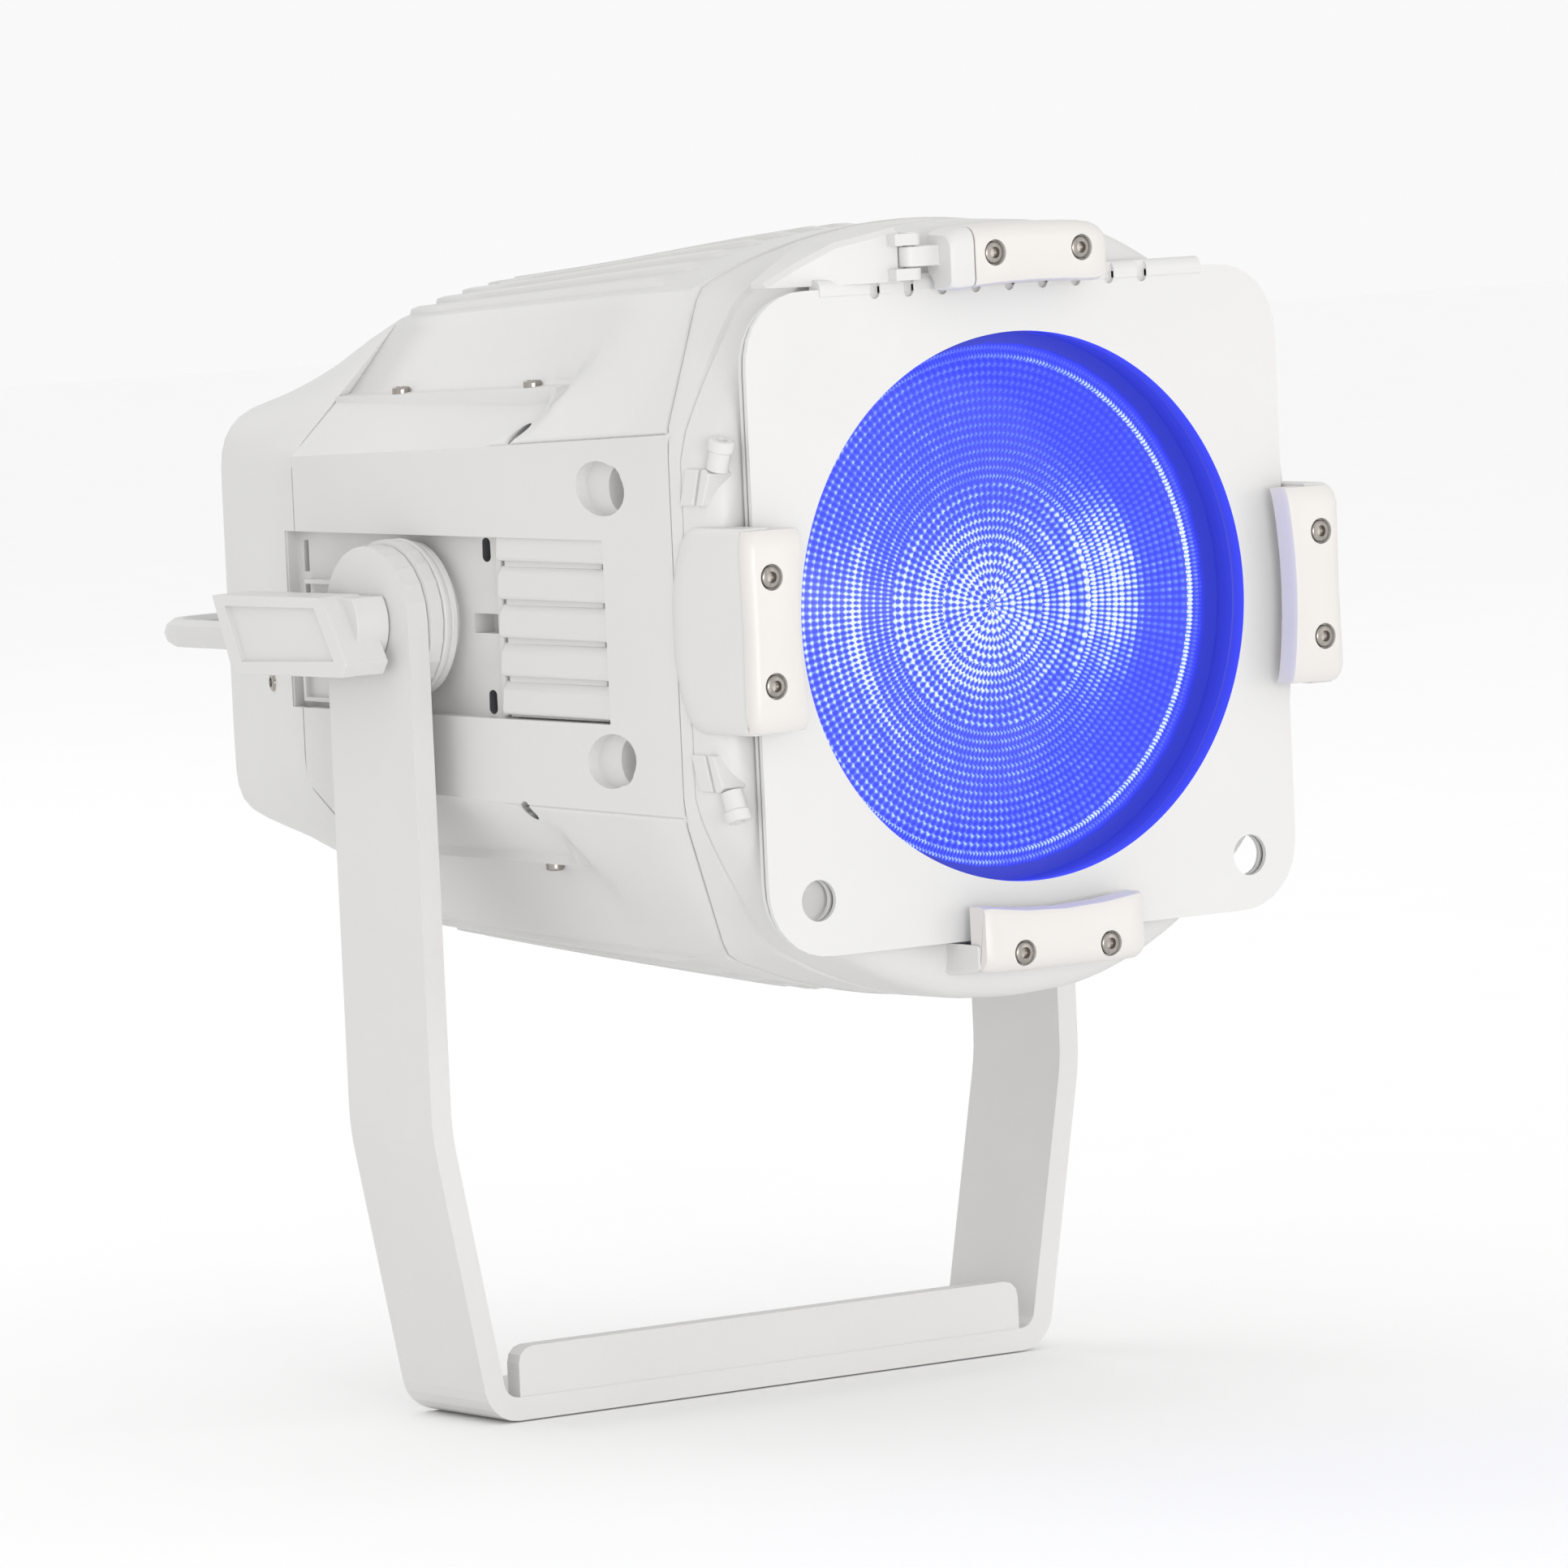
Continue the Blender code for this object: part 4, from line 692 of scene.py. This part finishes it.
def frame_slot(number, depth):
    """Round-ended notch through the rolled top edge."""
    centre = 12.0 * number - 1.0
    slot = arc((centre, 99.5), 1.7, 0, 180, 8) + arc((centre, 93.4), 1.7, 180, 360, 8)
    return slab(slot, -172, depth, on_y)


def glow_inside(target):
    """The opening's wall gets a painted glow: the colour of the light that falls on it."""
    target.data.materials.append(BARREL)
    for face in target.data.polygons:
        reach = math.hypot(face.center.x, face.center.z - TILT_HEIGHT * MM)
        if reach < (APERTURE + 0.4) * MM and abs(face.normal.y) < 0.5:
            face.material_index = 1


def filter_frame():
    """Two riveted leaves with a rolled top edge, ventilation slots and two holes."""
    outline = rounded(FRAME_HALF, FRAME_HALF, FRAME_RADIUS, 7)
    front = holed(outline, APERTURE, LEAF_FRONT, LEAF_FRONT + 1.5)
    outline = rounded(FRAME_HALF - 0.6, FRAME_HALF - 0.6, FRAME_RADIUS, 7)
    back = holed(outline, APERTURE, LEAF_BACK - 1.4, LEAF_BACK)
    # The dark inset middle sheet is painted shade: it stands for the shadow in the gap between the two leaves.
    outline = rounded(FRAME_HALF - 4.5, FRAME_HALF - 4.5, FRAME_RADIUS - 4, 7)
    middle = holed(outline, APERTURE, LEAF_FRONT + 1.4, LEAF_BACK - 1.3)
    first = piece("filter_frame", front, PLATE, "head", ("colour_frame",), edge=0.35, angle=40)
    for number in range(-4, 5):
        cut(first, frame_slot(number, -165.95))
    second = piece("filter_frame_back", back, PLATE, "head", edge=0.3, angle=40)
    gap_shade_sheet = piece("filter_frame_gap_shade", middle, SHADOW, "head")
    for leaf, radius in ((first, 6.0), (second, 6.0), (gap_shade_sheet, 7.0)):
        for x in (-78, 78):
            cut(leaf, rod(radius, (x, -172, -79), (0, 1, 0), 14, 32))
    fold = arc((-165.0, 95.4), 2.7, 0, 180, 12) + [(-167.7, 93.4), (-167.4, 93.0), (-162.5, 93.0)]
    roll = piece("filter_frame_fold", slab(fold, -68.5, 68.5, on_x), PLATE, "head", edge=0.3, angle=40)
    for number in range(-4, 5):
        cut(roll, frame_slot(number, -166.15))
    for leaf in (first, second, gap_shade_sheet):
        glow_inside(leaf)


def clip_levels(half):
    """Stations along a clip, closer together at its rounded ends."""
    end = [half - 5, half - 2.2, half - 0.7, half]
    return [-u for u in reversed(end)] + [-18, -9, 0, 9, 18] + end


def lip(inner, front):
    """The part of a clip's section that wraps the frame's edge, as (distance, y)."""
    return [(inner, front + 7.5), (inner, front + 2.0), (inner + 0.6, front + 0.6), (inner + 2.0, front), (98.5, front)]


def tail(front):
    """The part of the section that sits on the housing."""
    return [(97.5, -176.3), (97.5, front + 9.6), (96.0, front + 7.5)]


def pod(side):
    """Swelling on the bezel's side that carries the clip; its rear edge bows backwards."""
    rows = []
    for z in clip_levels(29.5):
        t = abs(z) / 29.5
        inset = 3.0 * max(0.0, (t - 0.86) / 0.14) ** 2
        rear = -138.0 - 9.5 * t ** 2.4
        outer = 107.0 - 0.5 * (1 - t) - inset * 0.7
        section = [(96.5, -176.6), (outer - 1.2, -176.6), (outer - 0.5, -176.0), (outer, -172), (outer, rear - 9)]
        section += [(outer - 0.4, rear - 4), (outer - 1.6, rear - 1), (outer - 3.2, rear), (96.5, rear)]
        rows.append([(side * u, v, z) for u, v in section])
    piece(HAND[side] + "_pod", skin(rows, around=True, ends=True), WHITE, "head", edge=0.3, angle=40)


def side_clip(side):
    """Moulded clip on the pod's front that wraps the frame's edge."""
    name = HAND[side]
    rows = []
    for z in clip_levels(28.8):
        t = abs(z) / 28.8
        inset = 3.2 * max(0.0, (t - 0.84) / 0.16) ** 2
        outer = 106.9 - 0.5 * (1 - t) - inset * 0.5
        inner = 86.4 + 2.6 * (1 - t * t) + inset * 0.3
        front = CLIP_FRONT + inset * 0.6
        shape = lip(inner, front) + arc((outer - 3.6, front + 3.6), 3.6, -90, 0, 5)
        shape += [(outer, -176.3)] + tail(front)
        rows.append([(side * u, v, z) for u, v in shape])
    body = skin(rows, around=True, ends=True)
    made = piece(name + "_side_clip", body, CLIP, "head", (name + "_clip",), edge=0.35, angle=40)
    for z in (-SCREW_HALF, SCREW_HALF):
        cut(made, rod(SOCKET, (side * SCREW_LINE, CLIP_FRONT - 2, z), (0, 1, 0), 4.3, 32))


def foot_clip():
    """The same clip under the frame, on a seat instead of a pod."""
    half = 28.5
    rows = []
    for x in (-half, -half + 0.8, -half + 2.4, -half + 6, -14, 0, 14, half - 6, half - 2.4, half - 0.8, half):
        t = abs(x) / half
        inset = 2.2 * max(0.0, (t - 0.86) / 0.14) ** 2
        inner = 84.2 + 2.6 * (1 - t * t) + inset * 0.3
        front = CLIP_FRONT + inset * 0.6
        shape = lip(inner, front) + arc((100.0 - inset * 0.4, front + 4.4), 4.4, -85, -10, 5)
        shape += [(104.3 - inset * 0.4, -176.3)] + tail(front)
        rows.append([(x, v, -u) for u, v in shape])
    seat = []
    for x, scale in ((-29.2, 0.99), (-28.4, 1.0), (28.4, 1.0), (29.2, 0.99)):
        shape = ((-176.6, -96.5), (-176.6, -103.2), (-172, -104.4), (-163, -105.2), (-156, -105.2), (-150, -96.5))
        seat.append([(x, y, z * scale) for y, z in shape])
    piece("foot_seat", skin(seat, around=True, ends=True), WHITE, "head", edge=0.6)
    body = skin(rows, around=True, ends=True)
    made = piece("foot_clip", body, CLIP, "head", ("bottom_clip",), edge=0.35, angle=40)
    for x in (-SCREW_HALF, SCREW_HALF):
        cut(made, rod(SOCKET, (x, CLIP_FRONT - 2, -SCREW_LINE), (0, 1, 0), 4.3, 32))


def latch():
    """Swinging block that holds the frame down, hinged on the pin at its left."""
    stations = [-31.0, -30.4, -28.8, -26, -23.0, -22.6, -18, -9, 0, 9, 16, 20.5, 23.4, 25.0, 25.5]
    rows = []
    for x in stations:
        t = max(0.0, (x - 16.0) / 9.5)
        s = max(0.0, (-26.0 - x) / 5.0)
        shrink = 3.4 * (1 - math.sqrt(max(0.0, 1 - t * t))) + 1.6 * (1 - math.sqrt(max(0.0, 1 - s * s)))
        crown = 1.0 * (1 - ((x + 2.5) / 29.0) ** 2)
        top = 110.6 + crown - shrink
        low = 92.8 + 1.6 * (1 - ((x + 2.5) / 29.0) ** 2) + shrink * 0.7
        front = CLIP_FRONT + shrink * 0.5
        shape = [(front + 8.6, low - 0.2), (front + 2.4, low - 0.2), (front + 0.7, low + 0.5), (front, low + 2.0)]
        shape += [(front, top - 4.4)] + arc((front + 4.4, top - 4.4), 4.4, 165, 105, 4)
        shape += [(-169.6, top), (-168.6, top - 1.0), (-168.6, 99.2), (-171.0, low + 2.2), (front + 8.6, low + 1.6)]
        rows.append([(x, u, v) for u, v in shape])
    arm_body, block_body = (skin(part, around=True, ends=True) for part in (rows[:5], rows[5:]))
    arm = piece("latch_arm", arm_body, WHITE, "top_latch", edge=0.35, angle=38)
    made = piece("latch_block", block_body, CLIP, "top_latch", ("top_latch",), edge=0.35, angle=38)

    seat = []
    for x, front, top in ((-80, -157.5, 97.8), (-72, -162.0, 103.0), (-62, -167.4, 108.4), (-42.6, -170.6, 112.0)):
        seat.append([(x, -150, 96.2), (x, front, 96.2), (x, front, top - 1.6), (x, front + 1.6, top), (x, -150, top)])
    seat_body = skin(seat, around=True, ends=True)
    bracket = piece("latch_seat", seat_body, WHITE, "head", ("latch_bracket",), edge=0.7)
    for z in (96.6, 106.6):
        ear = arc(PIN, EAR, -90, 90, 12) + [(PIN[0] - 7.0, PIN[1] + EAR), (PIN[0] - 7.0, PIN[1] - EAR)]
        cut(bracket, slab(ear, z, z + 3.4, on_z), "UNION")
    tongue = arc(PIN, EAR, 90, 270, 16) + [(PIN[0] + 8.5, PIN[1] - EAR), (PIN[0] + 8.5, PIN[1] + EAR)]
    cut(arm, slab(tongue, 100.4, 106.2, on_z), "UNION")
    cut(arm, rod(2.1, (*PIN, 98.0), (0, 0, 1), 12.0, 32))
    for x in (-SCREW_HALF, SCREW_HALF):
        cut(made, rod(SOCKET, (x, -183, 103.2), (0, 1, 0), 4.6, 32))


def pan_head(name, stands_for, place, body):
    """Screw head with a domed rim, a socket and its shank, facing forwards."""
    radius, head = 3.3, 1.9
    profile = [(0, -9), (1.7, -9), (1.7, 0), (radius, 0)] + arc((radius - 0.9, head - 0.9), 0.9, 0, 90, 4)
    profile += [(radius * 0.5, head + 0.15), (radius * 0.46, head - 0.1), (radius * 0.42, head - 1.2), (0, head - 1.3)]
    piece(name, turned(profile, Vector(place), (0, -1, 0), 24), SCREW, body, (stands_for,), angle=28)


def clip_screws():
    places = ((1, -SCREW_HALF), (2, SCREW_HALF))
    for side, name in HAND.items():
        for number, along in places:
            place = (side * SCREW_LINE, -179.0, along)
            pan_head(f"{name}_pod_screw_{number}", f"{name}_clip_screw_{number}", place, "head")
    for number, along in places:
        pan_head(f"foot_screw_{number}", f"bottom_clip_screw_{number}", (along, -179.0, -SCREW_LINE), "head")
        pan_head(f"block_screw_{number}", f"latch_screw_{number}", (along, -178.7, 103.2), "top_latch")


def lens():
    """Stepped lens: rings on the front face, plain behind."""
    edge, front, back = 77.4, 151.2, 144.4
    profile = []
    for k in range(RINGS):
        r = RING * k
        profile += [(r, front), (r + RING * 0.82, front - 0.8)]
    profile += [(edge, front), (edge, back), (0, back)]
    piece("stepped_lens", turned(profile, (0, 0, 0), (0, -1, 0), 180), LENS, "head", ("fresnel_lens",), angle=12)


def barrel():
    """The short tube round the lens."""
    profile = [(80.4, 121.5), (83.4, 121.5), (83.4, 160.9), (82.6, 161.4), (81.0, 161.4), (80.4, 160.9)]
    # The tube wears the painted blue glow, which stands for the lens's light on its wall.
    piece("lens_tube", turned(profile, (0, 0, 0), (0, -1, 0), 160), BARREL, "head", ("lens_barrel",))


def lever():
    """Locking lever: a slanted bar with a plain sunk panel, on a short round hub."""
    outline = [(57.5, 8.2), (-1.0, 8.6), (-5.6, 5.6), (-15.6, -11.0), (-12.8, -14.8), (45.8, -15.2), (48.6, -13)]
    taper = [(u * 0.995, v - 0.2) for u, v in outline]
    rows = [[on_x(u, v, d) for u, v in line] for line, d in ((outline, -122.5), (outline, -131), (taper, -137.4))]
    bar = skin(rows, around=True, ends=True)
    made = piece("lock_lever", bar, MOULDING, "tilt_lever", ("tilt_lever",), edge=0.9)
    hub = arc((0, 0), 13.0, -218, 38, 32)
    cut(made, slab(hub, -119.9, -131, on_x), "UNION")
    panel = [(50.5, 4.8), (1.0, 5.2), (-8.5, -10.2), (42.5, -11.6)]
    cut(made, slab(panel, -136.0, -141, on_x))
    cut(made, rod(5.4, (-110, 0, 0), (-1, 0, 0), 18.6, 28))


# ---- CAD nodes that keep their shape ----

def carry(paint, names, edge=0.0, angle=40):
    """Gives CAD nodes their finish and, where it shows, a softened edge."""
    for name in names:
        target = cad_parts[name]
        target.data.materials.clear()
        target.data.materials.append(paint)
        if edge:
            soften(target, edge, 3, angle)


def carried():
    """Finishes of the CAD nodes that show as they are."""
    carry(WHITE, ["yoke"], 1.0, 50)
    carry(WHITE, ["friction_washer_left", "friction_washer_right", "rear_handle"], 0.4)
    carry(WHITE, ["latch_pin"], 0.3)
    carry(SCREW, ["pivot_bolt_left", "pivot_bolt_right"], 0.4)
    carry(GREY, ["rear_panel", "menu_button_1", "menu_button_2", "menu_button_3", "menu_button_4"], 0.3)
    carry(ALUMINIUM, ["front_chassis_plate", "rear_chassis_plate", "carriage_plate", "heat_sink", "power_supply"])
    carry(BRIGHT, ["guide_rod_left", "guide_rod_right", "lead_screw", "safety_eye"])
    carry(BLACK, ["zoom_motor", "power_inlet", "power_outlet", "data_inlet", "data_outlet", "fuse_holder", "fan_frame",
                  "fan_rotor"], 0.3)
    carry(SCREEN, ["display"])
    carry(BOARD, ["control_board", "led_board"])
    carry(EMITTER, ["led_emitter"])
    # Painted blue glow on the inner optic and its ring, standing for the lamp's light that falls on them.
    carry(BARREL, ["mixing_optic", "lens_retaining_ring"])


# ---- studio ----

def camera():
    """In front of the light's left side, a little above the lens, looking slightly down."""
    azimuth, elevation, roll = (math.radians(a) for a in (35.02, 4.375, -2.58))
    flat = Vector((math.sin(azimuth), math.cos(azimuth), 0))
    ahead = flat * math.cos(elevation) - Vector((0, 0, math.sin(elevation)))
    level = Vector((math.cos(azimuth), -math.sin(azimuth), 0))
    over = level.cross(ahead)
    right = level * math.cos(roll) + over * math.sin(roll)
    up = over * math.cos(roll) - level * math.sin(roll)
    data = bpy.data.cameras.new("camera")
    data.lens = 234.9
    data.sensor_width = 36.0
    data.clip_end = 50.0
    made = bpy.data.objects.new("camera", data)
    bpy.context.scene.collection.objects.link(made)
    turn = Matrix((right, up, -ahead)).transposed().to_4x4()
    made.matrix_world = Matrix.Translation((-1.758, -2.550, 0.418)) @ turn
    bpy.context.scene.camera = made


def area_light(name, place, target, size, power, colour=(1, 1, 1)):
    data = bpy.data.lights.new(name, "AREA")
    data.shape = "DISK"
    data.size = size
    data.energy = power
    data.color = colour
    made = bpy.data.objects.new(name, data)
    made.location = place
    made.rotation_euler = (Vector(target) - Vector(place)).to_track_quat("-Z", "Y").to_euler()
    bpy.context.scene.collection.objects.link(made)


def studio():
    """White surroundings and four soft lights."""
    world = bpy.data.worlds.new("studio")
    world.use_nodes = True
    sky = world.node_tree.nodes["Background"].inputs
    sky["Color"].default_value = (1.0, 1.0, 1.0, 1)
    sky["Strength"].default_value = 0.95
    bpy.context.scene.world = world
    bpy.context.scene.view_settings.view_transform = "Standard"
    middle = (0, 0, 0.22)
    area_light("key", (-1.1, -3.3, 0.35), middle, 1.2, 31, (1.0, 0.985, 0.96))
    area_light("low", (-1.3, -1.9, 0.15), (0.04, 0, 0.06), 0.6, 4)
    area_light("fill", (2.0, -3.0, 0.4), middle, 1.2, 7)
    area_light("back", (-0.5, 2.6, 2.0), middle, 1.6, 8)


def floor():
    """White paper just under the yoke's base."""
    bm = bmesh.new()
    bmesh.ops.create_grid(bm, x_segments=1, y_segments=1, size=8.0)
    mesh = bpy.data.meshes.new("floor")
    bm.to_mesh(mesh)
    bm.free()
    made = bpy.data.objects.new("floor", mesh)
    made.location.z = -0.0005
    bpy.context.scene.collection.objects.link(made)
    mesh.materials.append(coated("floor_paper", (0.985, 0.985, 0.985), 0.85, grain=300.0, bump=0.01, tint=0.004))


WHITE = coated("white_powder_coat", (0.66, 0.655, 0.648), 0.44, grain=900.0, bump=0.10)
MOULDING = coated("white_moulding", (0.665, 0.658, 0.65), 0.38, grain=1500.0, bump=0.04)
PLATE = coated("white_plate", (0.67, 0.667, 0.662), 0.5, grain=1000.0, bump=0.05)
CLIP = coated("clip_moulding", (0.685, 0.66, 0.637), 0.36, grain=1600.0, bump=0.04)
GREY = coated("panel_grey", (0.32, 0.325, 0.33), 0.45)
# SHADOW is painted shade: a near-black finish put where there is only shadow, in the colour frame's gap and in the side
# slots.
SHADOW = coated("painted_gap_shadow", (0.10, 0.10, 0.11), 0.8)
SCREW = brushed("screw_steel", (0.42, 0.39, 0.36), 0.28, 2)
BRIGHT = brushed("bright_steel", (0.72, 0.72, 0.72), 0.22, 1)
ALUMINIUM = brushed("aluminium", (0.70, 0.71, 0.72), 0.38, 0)
BLACK = plain("black_moulding", (0.018, 0.018, 0.02), 0.45)
BOARD = plain("circuit_board", (0.012, 0.10, 0.04), 0.4)
SCREEN = plain("display_glass", (0.006, 0.012, 0.03), 0.1, (0.03, 0.12, 0.5))
EMITTER = plain("emitter_glass", (0.3, 0.35, 0.9), 0.1, (0.2, 0.3, 1.0))
LENS = lit_lens()
BARREL = painted_glow_barrel()

cover("crown", UPPER, ("top_cover",))
cover("keel", LOWER, ("bottom_cover",))
for hand in (-1, 1):
    side_panel(hand)
    louvres(hand)
    channel_end(hand)
    pivot_boss(hand)
    pod(hand)
    side_clip(hand)
bezel()
lugs()
rear_shell()
filter_frame()
foot_clip()
latch()
clip_screws()
lens()
barrel()
lever()
carried()
camera()
studio()
floor()
